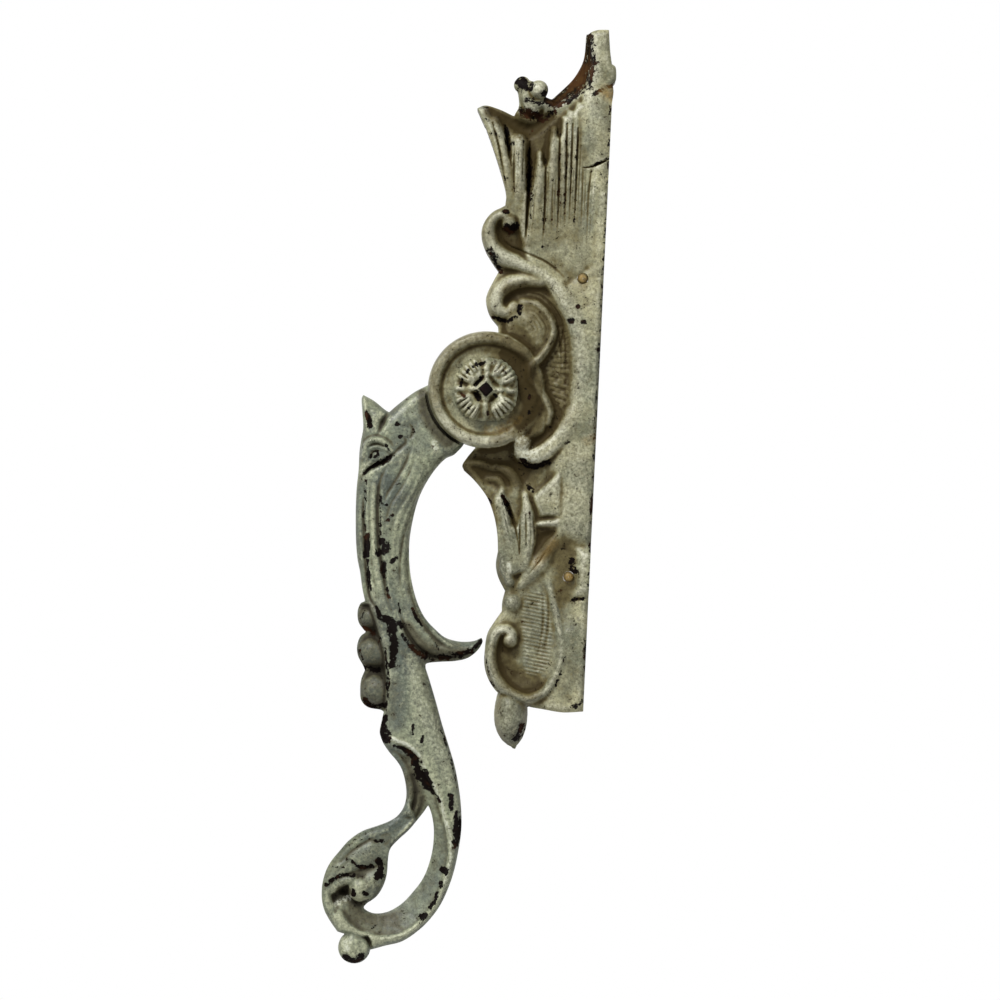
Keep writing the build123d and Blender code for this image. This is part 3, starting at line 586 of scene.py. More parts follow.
for strand, strand_width in (
    ([(-5.4, 75.0), (-3.2, 72.1), (0.0, 63.2), (2.4, 55.4), (3.2, 51.0)], [0.6, 0.9, 1.0, 1.0, 0.9]),
    ([(-1.0, 72.2), (0.9, 66.5), (2.1, 62.1), (3.6, 55.0), (4.2, 51.0)], [1.0, 1.3, 1.2, 1.0, 0.9]),
    ([(5.6, 67.0), (5.7, 61.0), (6.0, 54.0), (5.6, 49.0)], [1.9, 2.1, 2.0, 1.6]),
    ([(11.4, 63.6), (11.6, 56.6), (11.3, 48.0)], [0.7, 1.4, 1.2]),
    ([(14.9, 70.4), (15.0, 60.0), (15.2, 48.0)], [0.8, 1.6, 1.3]),
    ([(17.6, 73.4), (17.7, 64.0), (18.0, 52.0)], [0.7, 0.9, 0.8]),
    ([(19.2, 75.0), (19.3, 66.0), (19.5, 52.0)], [0.7, 0.8, 0.7]),
    ([(20.6, 75.4), (20.7, 66.0), (20.8, 52.0)], [0.6, 0.7, 0.6]),
):
    case.rise(strand, strand_width, [12.6, 13.0, 12.8, 12.2], 11.3, mound, 0.2)
for reed, reed_width, reed_top, foot in (
    ([(27.6, 60.2), (27.3, 54.0), (27.2, 40.0)], [1.8, 2.2, 2.0], [12.9, 12.8, 12.2], 11.9),
    ([(28.9, 53.4), (28.8, 46.0), (28.8, 34.0)], [1.3, 1.5, 1.2], [13.1, 13.0, 12.2], 12.0),
):
    case.rise(reed, reed_width, reed_top, foot, plump_top, 0.2)
arch = [
    (3.9, 45.6), (1.6, 47.0), (-0.7, 45.2), (-1.2, 42.1), (0.2, 38.4), (3.4, 35.6), (8.1, 33.7),
    (13.2, 31.7), (17.6, 28.2), (21.4, 22.8), (24.4, 15.6),
]
case.cut(beside(arch[6:], 4.6), [2.6, 3.4, 3.4, 3.0, 2.0], [0.2, 0.8, 0.8, 0.3, 0.0])

# Large C-scroll with its curls; its right side runs out into the plain band
arch_width = [1.6, 2.0, 2.2, 2.3, 2.5, 2.6, 2.7, 2.9, 3.2, 3.4, 3.4]
case.rise(arch, arch_width, [13.0, 13.3, 13.4, 13.5, 13.6, 13.6, 13.2], 9.8, mound, 0.6)
foot_curl = [(23.6, -5.0), (21.4, -10.6), (17.2, -15.2), (13.4, -17.2), (10.6, -16.6), (9.9, -14.6)]
case.rise(foot_curl, [2.6, 2.6, 2.6, 2.5, 2.3, 2.0], [13.3, 13.4, 13.5, 13.5, 13.2], 9.2, plump_top, 0.6)
case.ball(4.1, 44.9, 2.2, 13.4, 9.8)
curl = [(13.6, 29.6), (8.6, 29.8), (4.6, 28.4), (2.0, 25.6), (1.9, 22.6), (4.0, 20.9), (6.6, 21.8)]
case.rise(curl, [2.4, 2.8, 2.8, 2.7, 2.5, 2.3, 2.0], [13.2, 13.2, 13.1, 13.0, 12.8], 9.6, mound, 0.6)
case.ball(6.4, 22.0, 2.2, 13.1, 9.8)

# Plate between the ring and the C-scroll, edged by a thin ridge that comes to a cusp over the dish
bracket = [
    (8.3, 24.0), (12.6, 23.4), (16.0, 20.1), (17.3, 16.5), (16.0, 12.3), (13.8, 9.2), (11.6, 7.0),
    (11.3, 5.4), (11.7, 3.1), (14.2, 0.2), (16.2, -2.5), (17.4, -5.4), (17.0, -8.3),
]
case.level(bracket + [(15.6, -11.6), (8.0, -13.6), (4.0, 0.0), (4.0, 18.0)], GROUND + 1.3, 1.3, per_span=3)

# Ring over the pivot: a broad bead round a dish, which fades out beside the plate
radius = np.hypot(case.x, case.z)
turn = np.degrees(np.arctan2(case.z, case.x))
bead_middle = (RING_RADIUS + RING_INNER_RADIUS) / 2
bead_half = (RING_RADIUS - RING_INNER_RADIUS) / 2
bead_share = 0.1 + 0.9 * np.maximum(smooth_step((turn - 22) / 30), smooth_step((-22 - turn) / 60))
bead_height = (RING_TOP - DISH - 0.3) * bead_share
bead = DISH - 0.5 + bead_height * plump_top((radius - bead_middle) / (bead_half + 0.15))
bowl = DISH + 0.2 + 0.5 * bead_share * smooth_step((radius - 10.4) / 1.4)
ring = np.where(radius < bead_middle, smooth_max(bowl, bead, 0.25), bead)
ring -= 0.5 * bead_share * bell(np.abs(radius - RING_INNER_RADIUS + 0.2) / 0.45)
case.front = np.where(radius < RING_RADIUS, ring, case.front)
case.ball(10.3, -13.9, 2.7, 14.2, 9.4, plump_top)
case.rise([(7.0, 19.6), (11.6, 18.0), (13.2, 13.4)], [2.6, 4.2, 2.6], [12.9, 13.4, 13.0], 11.4, mound, 0.4)
bracket_width = [0.7, 0.9, 1.0, 1.0, 1.1, 1.4, 1.7, 1.7, 1.7, 1.6, 1.3, 1.0, 0.7]
bracket_top = [12.4, 13.0, 13.4, 13.5, 13.7, 14.2, 14.7, 14.8, 14.5, 14.0, 13.6, 13.2, 12.4]
case.rise(bracket, bracket_width, bracket_top, 11.6, mound, 0.3)

# Rocky folds and leaves under the ring: one plate with a deep gap between its two points
rock_edge = [(-4.4, -20.6), (-1.2, -24.2), (2.0, -28.8), (4.0, -33.8), (5.2, -39.0)]
case.rise(rock_edge, [0.8, 1.1, 1.2, 1.2, 1.0], 10.4, 8.6, mound)
for fold, fold_width, fold_top, foot in (
    ([(-4.6, -20.0), (-0.6, -19.8), (3.4, -21.2)], [1.0, 1.4, 1.0], [10.6, 10.8, 10.0], 8.6),
    ([(3.6, -20.4), (7.2, -21.8), (9.2, -25.0), (8.8, -28.6)],
     [1.2, 2.0, 2.0, 1.2], [10.2, 11.0, 10.8, 9.6], 8.4),
    ([(1.6, -23.6), (4.6, -24.0), (6.2, -27.0)], [0.8, 1.4, 0.8], [10.0, 10.6, 9.8], 8.4),
):
    case.rise(fold, fold_width, fold_top, foot, mound, 0.4)
lower_leaf = [
    (4.5, -26.0), (6.4, -31.0), (8.6, -35.6), (9.7, -35.6), (10.7, -31.0), (11.7, -26.6), (13.7, -30.6),
    (15.4, -36.0), (15.3, -42.0), (13.6, -48.0), (9.0, -50.0), (4.0, -44.0), (4.0, -38.0), (3.0, -33.0),
    (3.0, -29.0),
]
case.level(lower_leaf, GROUND + 0.5, 1.1)
for strand, strand_width in (
    ([(5.3, -26.6), (6.1, -31.9), (7.7, -38.8), (10.0, -44.0)], [0.5, 1.2, 1.6, 1.0]),
    ([(11.7, -27.4), (12.7, -33.0), (13.2, -39.6), (12.6, -46.0)], [0.5, 1.7, 2.0, 1.2]),
):
    case.rise(strand, strand_width, [11.7, 12.2, 12.1, 11.7], 10.8, mound, 0.3)

# Facet, ledge and sunk corner beside the plain strip
case.level([(13.4, -27.8), (21.2, -20.0), (21.6, -33.0), (15.8, -33.8)], GROUND + 0.6, 1.1, (0.10, 0.10))
case.rise([(15.8, -35.2), (18.5, -34.9), (20.8, -34.6)], [0.7, 1.0, 1.0], 11.6, 9.6, plump_top, 0.6)
case.level([(15.8, -37.0), (20.8, -36.0), (20.8, -42.4), (15.6, -43.4)], GROUND - 2.0, 1.6)

# Beads, cup and pad round the lower fixing screw
case.rise([(6.4, -45.4), (7.2, -48.0), (8.8, -51.0)], [1.2, 1.9, 1.5], 11.9, 8.8, mound, 0.5)
cup = [(20.6, -37.6), (19.0, -41.0), (16.6, -45.0), (13.6, -49.0), (11.6, -52.0)]
case.rise(cup, [0.6, 2.3, 3.2, 2.8, 1.0], [10.4, 11.4, 11.8, 11.5, 10.6], 9.0, mound, 0.5)
case.level([(25.4, -40.6), (40.0, -38.6), (40.0, -54.6), (25.6, -54.8), (24.9, -47.4)], GROUND + 0.7, 3.4)
case.cut([(25.8, -55.0), (27.2, -54.8), (28.8, -54.8)], [0.4, 0.6, 0.4], [0.3, 1.3, 0.5])

# Shell: a curled U-band round a hollow, over the drop bud
case.ball(9.6, -56.4, 2.7, 12.0, 9.0, mound)
shell_band = [
    (9.4, -67.2), (10.0, -65.4), (8.4, -63.9), (6.0, -64.7), (4.7, -68.7), (5.0, -73.1), (6.8, -77.4),
    (10.1, -80.5), (14.9, -82.0), (19.4, -80.0), (22.2, -75.6), (23.3, -70.4), (23.2, -66.3), (21.8, -59.9),
    (19.7, -52.3), (18.9, -48.8),
]
over_bud = case.front.copy()
case.dome(bud_line, bud_width, [11.4, 12.0, 12.3, 12.3, 11.6, 10.2, 8.4], 6.0)
case.front = np.where(case.z > -81.6, over_bud, case.front)
band_width = [1.6, 1.8, 1.9, 1.9, 1.9, 1.9, 1.9, 1.8, 1.6, 1.3, 0.9]
case.rise(shell_band, band_width, [12.0, 12.4, 12.5, 12.5, 12.3, 11.6, 9.8], 8.8, mound, 0.4)
case.ball(9.5, -66.6, 2.0, 12.4, 9.2)

# Knob and nub over the leaf
case.dome(knob_line, [2.1, 2.4, 2.9], [9.6, 10.8, 11.2], 7.0)
case.rise([(8.6, 77.0), (11.0, 77.2), (13.2, 77.0)], [2.4, 2.4, 1.8], [11.4, 11.2, 10.2], 7.0, mound)
case.rise(nub_arm, 2.0, [10.4, 11.0], 8.0, mound)
case.dome(spot(*nub), 2.6, 12.8, 9.6)
case.soften(0.42)

# Fine lines: reeds, veins, fan lines, flutes and hatching
case.cut([(-3.4, 76.0), (2.6, 72.6), (8.0, 70.4), (13.4, 74.0)], [1.4, 3.0, 3.6, 2.2], [0.5, 1.8, 2.4, 1.4])
leaf_gap = [(8.6, 67.0), (8.9, 58.0), (8.9, 51.0), (8.7, 43.0), (8.6, 40.0)]
case.cut(leaf_gap, [0.3, 0.8, 0.8, 0.5, 0.3], [0.6, 2.8, 2.4, 0.8, 0.1])
case.cut([(1.7, 70.8), (2.6, 67.4), (3.2, 64.0), (4.0, 60.0)], [0.5, 0.8, 0.6, 0.3], [1.4, 2.0, 1.4, 0.2])
reed_grooves = [
    ([(10.0, 60.0), (9.8, 50.0), (9.4, 41.0)], 0.5),
    ([(13.1, 62.4), (13.4, 50.0), (13.3, 39.0)], 0.7),
    ([(15.2, 57.0), (15.5, 43.0)], 0.35),
    ([(16.5, 69.0), (16.9, 55.0), (17.1, 41.0)], 0.7),
    ([(18.3, 72.0), (18.7, 58.0), (18.9, 44.0)], 0.65),
    ([(19.8, 72.0), (20.0, 57.0), (20.1, 44.0)], 0.55),
    ([(21.3, 71.0), (21.5, 57.6), (21.4, 45.0)], 0.65),
    ([(23.1, 60.0), (23.4, 43.0)], 0.3),
    ([(25.3, 60.0), (24.9, 52.0), (25.1, 37.0)], 0.35),
]
for line, depth in reed_grooves:
    case.cut(line, 0.4, [0.6 * depth, depth, depth, 0.6 * depth, 0.0])
    case.cut(beside(line, 0.75), 0.28, [0.1, 0.2, 0.2, 0.15, 0.0])
    case.mark("bare", line, 0.34, 0.32 + 0.34 * depth)
blade_lines = [
    ([(-1.6, 71.4), (0.2, 65.6), (1.4, 60.4), (3.2, 53.0)], 0.6),
    ([(-3.6, 72.4), (-1.6, 67.8), (0.6, 61.0)], 0.3),
    ([(4.4, 66.6), (4.6, 61.0), (5.0, 52.4)], 0.45),
    ([(5.8, 64.6), (5.9, 56.0)], 0.2),
    ([(6.9, 66.8), (7.0, 61.0), (7.1, 54.0)], 0.45),
]
for line, depth in blade_lines:
    case.cut(line, 0.38, [0.5 * depth, depth, depth, 0.2 * depth])
    case.mark("bare", line, 0.16, 0.4 + 0.4 * depth)
case.cut([(23.0, 60.4), (25.6, 60.9), (28.0, 62.0), (30.8, 63.8)], [0.2, 0.4, 0.5, 0.4], [0.3, 0.8, 0.9, 0.8])
case.cut(beside(arch[5:9], 3.4), 0.5, [0.0, 0.4, 0.5, 0.0])
case.cut([(2.0, 42.0), (3.2, 39.6), (6.0, 38.0), (10.0, 36.8)], 0.5, [0.1, 0.5, 0.5, 0.0])
for shift in (1.4, 2.6):
    case.cut(beside(bracket[:6], shift), 0.4, [0.0, 0.3, 0.35, 0.2, 0.0])
for shift in (-2.0, -3.1, -4.2, -5.3):
    case.cut(beside(bracket[:5], shift), 0.3, [0.0, 0.1, 0.2, 0.1, 0.0])
for shift in (-2.6, -3.8):
    case.cut(beside(scroll_field[1:6], shift), 0.4, [0.0, 0.25, 0.3, 0.2, 0.0])
hatch_starts = [(17.8, 17.6), (17.6, 12.6), (15.8, 8.4), (14.4, 5.2), (15.4, 1.6), (17.2, -2.4), (18.0, -6.4)]
hatch_ends = [(20.6, 18.6), (22.2, 13.4), (22.8, 8.2), (22.8, 3.6), (22.4, -0.6), (21.2, -5.0), (18.8, -9.6)]
for start, end in zip(smooth_line(hatch_starts, 3), smooth_line(hatch_ends, 3)):
    case.cut([start, 0.5 * (start + end) - (0, 0.3), end], 0.32, [0.05, 0.14, 0.14, 0.02])
pitted = smooth_step(case.outline(smooth_line([
    (15.5, 23.6), (20.0, 17.0), (22.0, 8.0), (22.0, -3.0), (17.8, -12.0), (18.2, -3.0), (14.2, 4.6),
    (18.2, 13.0),
])) / 1.0)
stipple = blur(np.random.default_rng(11).standard_normal(case.x.shape), np.ones_like(case.x), 0.3)
case.front += 0.09 * pitted * stipple / stipple.std()
lower_gap = [(5.4, -27.6), (7.4, -31.0), (8.9, -34.5), (10.1, -38.7), (11.0, -43.5)]
case.cut(lower_gap, [0.4, 0.8, 0.6, 0.4, 0.25], [0.6, 1.7, 1.1, 0.5, 0.1])
for line, depth in (
    ([(5.6, -29.4), (6.6, -34.0), (8.4, -40.0)], 0.3),
    ([(10.7, -33.8), (11.0, -43.5)], 0.5),
    ([(12.2, -32.7), (12.7, -41.3)], 0.5),
    ([(13.2, -32.0), (13.8, -38.0), (13.6, -44.0)], 0.3),
    ([(14.2, -33.7), (14.9, -39.5)], 0.4),
):
    case.cut(line, 0.38, [0.4 * depth, depth, depth, 0.2 * depth])
    case.mark("bare", line, 0.16, 0.4 + 0.45 * depth)
case.cut([(18.6, -41.6), (16.4, -45.2), (13.8, -48.6)], 0.4, [0.1, 0.5, 0.2])
hatch_loop = smooth_line([
    (12.4, -53.5), (17.9, -52.4), (20.6, -60.0), (21.4, -67.6), (19.8, -74.6), (14.0, -76.6), (12.6, -68.0),
    (11.6, -60.3),
])
hatched = smooth_step(case.outline(hatch_loop) / 1.6)
case.front += hatched * (0.25 + 0.14 * np.cos(2 * pi * (case.z + 0.16 * case.x) / 1.0))
for lower, upper in ((18.3, 20.3), (16.9, 18.9)):
    flute = [(lower, -72.0), (0.6 * upper + 0.4 * lower, -62.0), (upper - 1.4, -52.0)]
    case.cut(flute, 0.5, [0.0, 0.35, 0.0])
case.roughen(5, 0.06)

# The slot under the ring for the lever's arm; the hollow back and the holes are those of the CAD case
full_turn = (turn + 360) % 360
in_slot = (full_turn > SLOT_START) & (full_turn < SLOT_END)
near_slot = in_slot & (radius > RING_RADIUS) & (radius < RING_RADIUS + SLOT_REACH)
case.inside = np.where(near_slot, np.minimum(case.inside, RING_RADIUS - radius), case.inside)
case.take_back(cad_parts["case"])
under_ring = radius < RING_RADIUS
case.back = np.where(in_slot & under_ring, np.maximum(case.back, CAP_BACK), case.back)
case.back = np.where(under_ring & (radius > RING_RADIUS - RIM_WALL) & ~in_slot, 0, case.back)
for x, z in SCREW_HOLES:
    case.inside = np.minimum(case.inside, -case.disc(x, z, SCREW_HOLE_RADIUS))
case.inside = np.minimum(case.inside, -case.disc(0, 0, SPINDLE_HOLE_RADIUS))

# Worn and chipped places of the case
case_chips = [
    (notch, [1.8, 2.8, 3.2, 2.6, 1.5, 0.9], 1.0),
    ([(24.8, 80.1), (27.3, 81.5), (30.4, 83.2)], 0.5, 0.75),
    ([(5.2, 82.8), (7.0, 82.0)], 1.5, 0.85),
    ([(5.6, 75.6), (8.6, 74.0), (11.8, 73.6), (14.6, 75.2)], [0.7, 1.0, 1.0, 0.8], 0.8),
    ([(7.8, 78.2), (9.7, 78.0), (11.4, 77.4)], 0.7, 0.8),
    ([(12.6, 78.2), (14.4, 77.2)], 0.9, 0.85),
    ([(8.4, 65.0), (8.8, 60.0), (9.0, 51.0)], [0.3, 0.6, 0.3], 0.85),
    ([(2.0, 70.2), (2.7, 67.2), (3.2, 64.6)], [0.4, 0.6, 0.4], 0.9),
    ([(-5.4, 75.4), (-3.0, 75.4), (0.0, 74.8)], 0.3, 0.6),
    ([(-1.2, 37.2), (1.2, 34.0), (2.4, 32.0)], 0.6, 0.8),
    ([(25.0, 61.0), (27.4, 61.8), (30.0, 63.2)], 0.35, 0.75),
    ([(28.0, 59.0), (29.6, 58.0)], 0.8, 0.6),
    ([(29.6, 78.0), (29.8, 50.0), (29.8, 24.0)], 0.4, 0.63),
    ([(29.8, 24.0), (29.8, 0.0), (29.8, -36.0)], 0.5, 0.63),
    ([(27.6, -12.6), (28.8, -11.8)], 0.7, 0.5),
    ([(3.2, 43.4), (4.8, 43.1), (6.0, 44.4)], 0.7, 1.0),
    ([(2.6, 47.8), (3.4, 47.6)], 0.5, 0.9),
    ([(1.2, 19.4), (4.4, 18.7), (7.2, 19.8)], 0.45, 0.85),
    ([(7.8, 21.0), (8.0, 22.4)], 0.6, 0.95),
    ([(21.7, 19.5), (21.8, 19.5)], 0.6, 1.0),
    ([(25.1, 19.2), (25.2, 19.2)], 0.5, 1.0),
    ([(23.5, 23.3), (23.6, 23.3)], 0.4, 1.0),
    ([(10.0, -18.6), (13.6, -20.0), (17.6, -18.6)], 0.55, 0.95),
    ([(21.8, -13.4), (23.0, -12.6)], 0.4, 0.9),
    ([(5.6, -28.2), (7.2, -30.8), (8.6, -33.8)], [0.3, 0.5, 0.3], 0.85),
    ([(1.0, -26.6), (2.8, -30.2)], [0.5, 0.3], 0.6),
    ([(12.6, -25.2), (13.4, -26.2)], 0.7, 0.8),
    ([(25.0, -44.2), (25.5, -45.6), (25.6, -47.4)], 0.7, 0.8),
    ([(29.8, -40.0), (30.0, -46.0), (29.8, -52.0)], 0.4, 0.7),
    ([(26.2, -54.9), (28.3, -54.7)], 0.5, 0.9),
    ([(14.2, -89.6), (12.8, -93.0)], 0.9, 0.8),
    ([(27.4, -83.4), (29.6, -82.0)], 0.6, 0.8),
    ([(29.8, -66.0), (29.8, -80.0)], 0.3, 0.6),
    ([(19.0, -81.8), (22.8, -77.2), (24.4, -70.0)], 0.3, 0.62),
    ([(3.0, -70.0), (4.4, -77.0), (8.0, -81.0)], 0.4, 0.62),
]
case.marks("bare", case_chips)
case_soil_and_shadow = [
    ([(-2.0, 74.4), (3.0, 72.0), (7.2, 70.4), (10.9, 69.0), (13.7, 72.4)], [1.0, 1.6, 2.0, 2.0, 1.4], 0.95),
    ([(9.0, 67.0), (9.2, 60.0), (9.4, 54.0)], [1.2, 0.9, 0.4], 0.9),
    ([(13.0, 67.0), (12.9, 62.6)], 0.7, 0.9),
    ([(16.4, 73.0), (16.3, 69.6)], 0.5, 0.8),
    ([(24.4, -49.0), (24.5, -49.0)], 1.7, 0.45),
    ([(24.4, 30.9), (24.5, 30.9)], 1.5, 0.3),
    ([(2.0, 41.2), (4.0, 39.6), (7.0, 39.4)], 1.2, 0.7),
    ([(5.0, 26.6), (9.4, 27.2), (13.0, 26.6)], 1.5, 0.55),
    ([(-3.0, -21.0), (3.0, -21.4), (11.0, -22.0)], 2.2, 0.9),
    ([(1.0, -27.0), (4.0, -35.0)], 0.9, 0.5),
    ([(18.0, -38.6), (17.8, -42.0)], 1.5, 0.9),
    ([(23.2, -40.0), (23.0, -46.0), (23.4, -54.0)], 1.4, 0.6),
    ([(8.0, -70.0), (10.0, -76.0), (15.0, -79.0)], 1.8, 0.7),
    ([(6.0, 16.0), (11.0, 13.0), (14.0, 14.0)], 1.6, 0.5),
    # Painted shadow on the ring's right-hand side
    ([(14.0, -4.0), (13.0, -11.0)], 1.6, 0.7),
    ([(20.0, 14.0), (21.0, 4.0), (20.0, -6.0)], 1.6, 0.45),
]
case.marks("dirt_and_shade", case_soil_and_shadow)
case.mark("rust", [(28.4, 81.0), (30.2, 80.0)], 1.2, 0.8)
case.mark("rust", [(20.0, -40.0), (17.6, -44.0), (15.4, -46.4)], 0.9, 0.5)
case.mark("rust", notch, [1.4, 2.2, 3.0, 2.4, 1.2, 0.8], 0.3)
case.mark("rust", [(27.4, -12.8), (29.4, -11.6)], 0.9, 0.5)
for x, z in SCREW_HOLES:
    case.mark("rust", [(x, z), (x + 0.1, z - 1.0)], 1.0, 0.4)
# Over some soil, painted shadow darkens the ring's right-hand side, dish and bead; its lower left gets
# painted light
shadow_side = smooth_step((turn + 80) / 60) * smooth_step((110 - turn) / 50)
lit_lower_left = smooth_step((-70 - turn) / 30) * smooth_step((turn + 170) / 30)
bowl_dirt_and_shade = smooth_step((RING_INNER_RADIUS + 0.4 - radius) / 0.6) * (0.06 + 0.66 * shadow_side)
bead_dirt_and_shading = (0.36 - 0.24 * lit_lower_left + 0.25 * shadow_side) * smooth_step((RING_RADIUS - radius) / 0.6)
field_dirt = 0.42 * smooth_step(case.outline(smooth_line(scroll_field, 3)) / 1.6)
case.wear["dirt_and_shade"] = np.maximum(np.maximum(case.wear["dirt_and_shade"], bowl_dirt_and_shade), np.maximum(bead_dirt_and_shading, field_dirt))
reed_dirt = 0.26 * smooth_step((case.z - 36) / 6) * smooth_step((72 - case.z) / 8)
reed_dirt *= smooth_step((25 - case.x) / 3)
case.wear["dirt_and_shade"] = np.maximum(case.wear["dirt_and_shade"], reed_dirt)
case.mark("rust", [(1.0, -11.0), (5.0, -10.2), (8.6, -7.6)], 1.0, 0.4)
# Painted shadow: a dark crescent down the right of the dish, laid as heavy soil and bare iron
shadowed_side = [
    (4.6, 9.6), (7.8, 8.0), (9.6, 5.2), (10.1, 2.6), (11.2, -0.6), (12.4, -3.6), (11.6, -6.0), (9.4, -8.8),
]
# Painted light: the dish is made cleaner away from its shadowed side
case.wear["dirt_and_shade"] -= 0.4 * smooth_step((RING_INNER_RADIUS - 0.4 - radius) / 0.8) * (1 - shadow_side)
case.mark("dirt_and_shade", shadowed_side, [0.9, 1.5, 1.7, 1.6, 1.5, 1.6, 1.4, 0.9], 1.8)
case.mark("bare", shadowed_side[1:7], [0.5, 0.9, 0.9, 0.6, 0.8, 0.5], 0.5)
case.mark("dirt_and_shade", [(8.0, 20.0), (12.0, 18.0), (13.6, 13.0)], 3.4, 0.26)
case_dulled = [
    ([(6.0, -31.0), (8.4, -40.0), (11.0, -48.0)], 2.6, 0.6),
    ([(12.8, -34.0), (13.2, -44.0)], 1.8, 0.5),
    ([(6.8, -46.0), (8.4, -51.0), (9.5, -56.2)], 2.2, 0.8),
    ([(5.4, -68.0), (7.0, -77.0), (15.0, -81.6), (21.6, -76.0), (23.0, -67.0), (20.6, -55.0)], 1.8, 0.7),
    ([(15.0, -54.0), (17.0, -64.0), (16.6, -74.0)], 3.2, 0.65),
    ([(10.8, -84.0), (10.9, -88.0), (11.2, -92.0)], 3.2, 0.9),
    ([(22.5, -40.0), (22.4, -46.0), (22.2, -54.0)], 1.2, 0.7),
    ([(24.6, -62.0), (25.0, -76.0)], 2.2, 0.5),
    ([(12.0, 58.0), (15.0, 48.0), (17.0, 38.0)], 3.6, 0.45),
    ([(23.6, 50.0), (23.8, 38.0)], 1.6, 0.6),
    ([(-3.0, -22.0), (4.0, -25.0)], 2.6, 0.7),
    ([(7.4, 79.6), (9.6, 77.8)], 1.6, 0.5),
    ([(4.1, 44.6), (4.6, 44.4)], 1.6, 0.8),
    ([(26.0, 70.0), (26.6, 64.0)], 2.4, 0.35),
    ([(-1.0, 13.6), (-9.6, 9.6), (-13.4, 3.0), (-13.4, -4.0)], 1.6, 0.5),
]
case.marks("cool_and_shade", case_dulled)
# Paler paint: thinned on crests and edges, and painted highlights on the beads, curls, strands and the facet
case_rubbed_and_highlights = [
    ([(17.6, 28.2), (22.6, 20.0), (24.8, 10.0), (24.2, -2.0), (20.6, -10.6)], 1.4, 0.4),
    ([(13.4, -17.2), (10.6, -16.4), (10.2, -14.0)], 1.9, 0.8),
    ([(25.2, -16.0), (25.4, -26.0), (25.2, -35.0)], 2.2, 0.35),
    ([(17.8, -27.6), (19.8, -26.0)], 1.8, 0.4),
    ([(16.4, -35.0), (20.4, -34.8)], 0.5, 0.5),
    ([(5.6, 67.6), (5.8, 64.0), (5.8, 58.0)], [1.1, 0.9, 0.4], 0.7),
    ([(-0.9, 71.8), (0.6, 67.4)], 0.7, 0.6),
    ([(24.6, 79.2), (25.6, 76.0), (26.0, 72.0)], 1.2, 0.3),
    ([(-1.4, 42.0), (0.4, 38.2), (4.0, 35.4), (9.0, 33.4)], 0.8, 0.35),
    ([(14.9, 70.6), (15.0, 62.0)], 0.6, 0.5),
    ([(8.2, -46.3), (8.5, -48.2)], 0.4, 0.9),
    ([(6.6, -64.6), (9.4, -64.6), (9.8, -66.6)], 0.7, 0.6),
    (bracket[4:12], 0.7, 0.28),
]
case.marks("pale_and_highlight", case_rubbed_and_highlights)
case_piece = case.mesh("case_relief", 1.0)

rim_piece = rim_mesh()

# Lever

lever = Relief((-41.0, -159.0), (17.0, 17.0))
lever_pieces = [
    [(-8.0, 10.0), (-13.4, 3.0), (-15.1, 0.9), (-19.0, -1.4), (-22.9, -4.6), (-25.7, -7.2)],
    [(-25.7, -7.2), (-27.1, -6.4), (-29.8, -4.4), (-32.8, -2.9)],
    [(-32.8, -2.9), (-33.2, -4.2), (-32.7, -8.3), (-32.4, -11.7), (-32.8, -15.0), (-33.1, -18.2),
     (-33.1, -23.0), (-33.4, -28.4), (-33.3, -35.1), (-32.9, -41.8), (-32.3, -46.6), (-31.4, -50.3),
     (-30.6, -54.6), (-29.7, -58.0)],
    [(-29.7, -58.0), (-31.0, -58.9), (-31.6, -61.1), (-31.2, -63.7), (-29.9, -65.5), (-29.1, -66.3)],
    [(-29.1, -66.3), (-30.6, -67.7), (-31.3, -70.2), (-30.9, -72.8), (-29.5, -75.2), (-28.9, -76.5)],
    [(-28.9, -76.5), (-29.8, -79.2), (-29.9, -81.9), (-29.5, -84.6), (-27.6, -86.4), (-24.3, -86.9),
     (-23.3, -87.4)],
    [(-23.3, -87.4), (-23.8, -90.2), (-24.1, -92.9), (-23.1, -95.5), (-21.4, -97.9), (-19.2, -100.2),
     (-17.7, -102.5), (-16.6, -106.0), (-16.2, -109.4), (-16.7, -112.4), (-18.2, -114.9), (-20.5, -116.6),
     (-23.7, -118.0), (-27.6, -119.6), (-31.0, -122.2), (-33.5, -125.3), (-35.5, -128.0), (-36.8, -130.8),
     (-37.5, -134.3), (-37.4, -138.1), (-36.5, -141.2), (-34.8, -144.1), (-32.9, -146.6)],
    [(-32.9, -146.6), (-28.2, -148.0), (-23.7, -151.0)],
    [(-23.7, -151.0), (-20.0, -149.8), (-15.5, -148.4), (-11.4, -145.4), (-8.3, -142.1), (-5.8, -138.3),
     (-3.9, -133.8), (-2.5, -128.9), (-1.6, -123.5), (-1.1, -118.1), (-1.3, -113.3), (-2.0, -108.2),
     (-3.5, -101.6), (-5.4, -96.0), (-7.5, -90.2), (-9.4, -84.4), (-11.3, -78.9), (-12.7, -75.2)],
    [(-12.7, -75.2), (-12.4, -73.9), (-8.9, -73.3), (-4.9, -72.9), (-1.7, -72.0), (0.8, -70.0),
     (2.2, -67.6), (1.9, -66.4)],
    [(1.9, -66.4), (-0.3, -67.4), (-3.8, -67.7), (-7.6, -66.9), (-10.3, -65.0), (-13.5, -61.8),
     (-15.8, -57.6), (-17.5, -52.3), (-18.4, -47.0), (-18.6, -41.1), (-17.9, -35.2), (-16.8, -30.3),
     (-15.3, -26.5), (-12.9, -22.3), (-10.1, -19.0), (-7.2, -17.2), (-4.6, -12.0), (-6.0, 2.0), (-8.0, 10.0)],
]
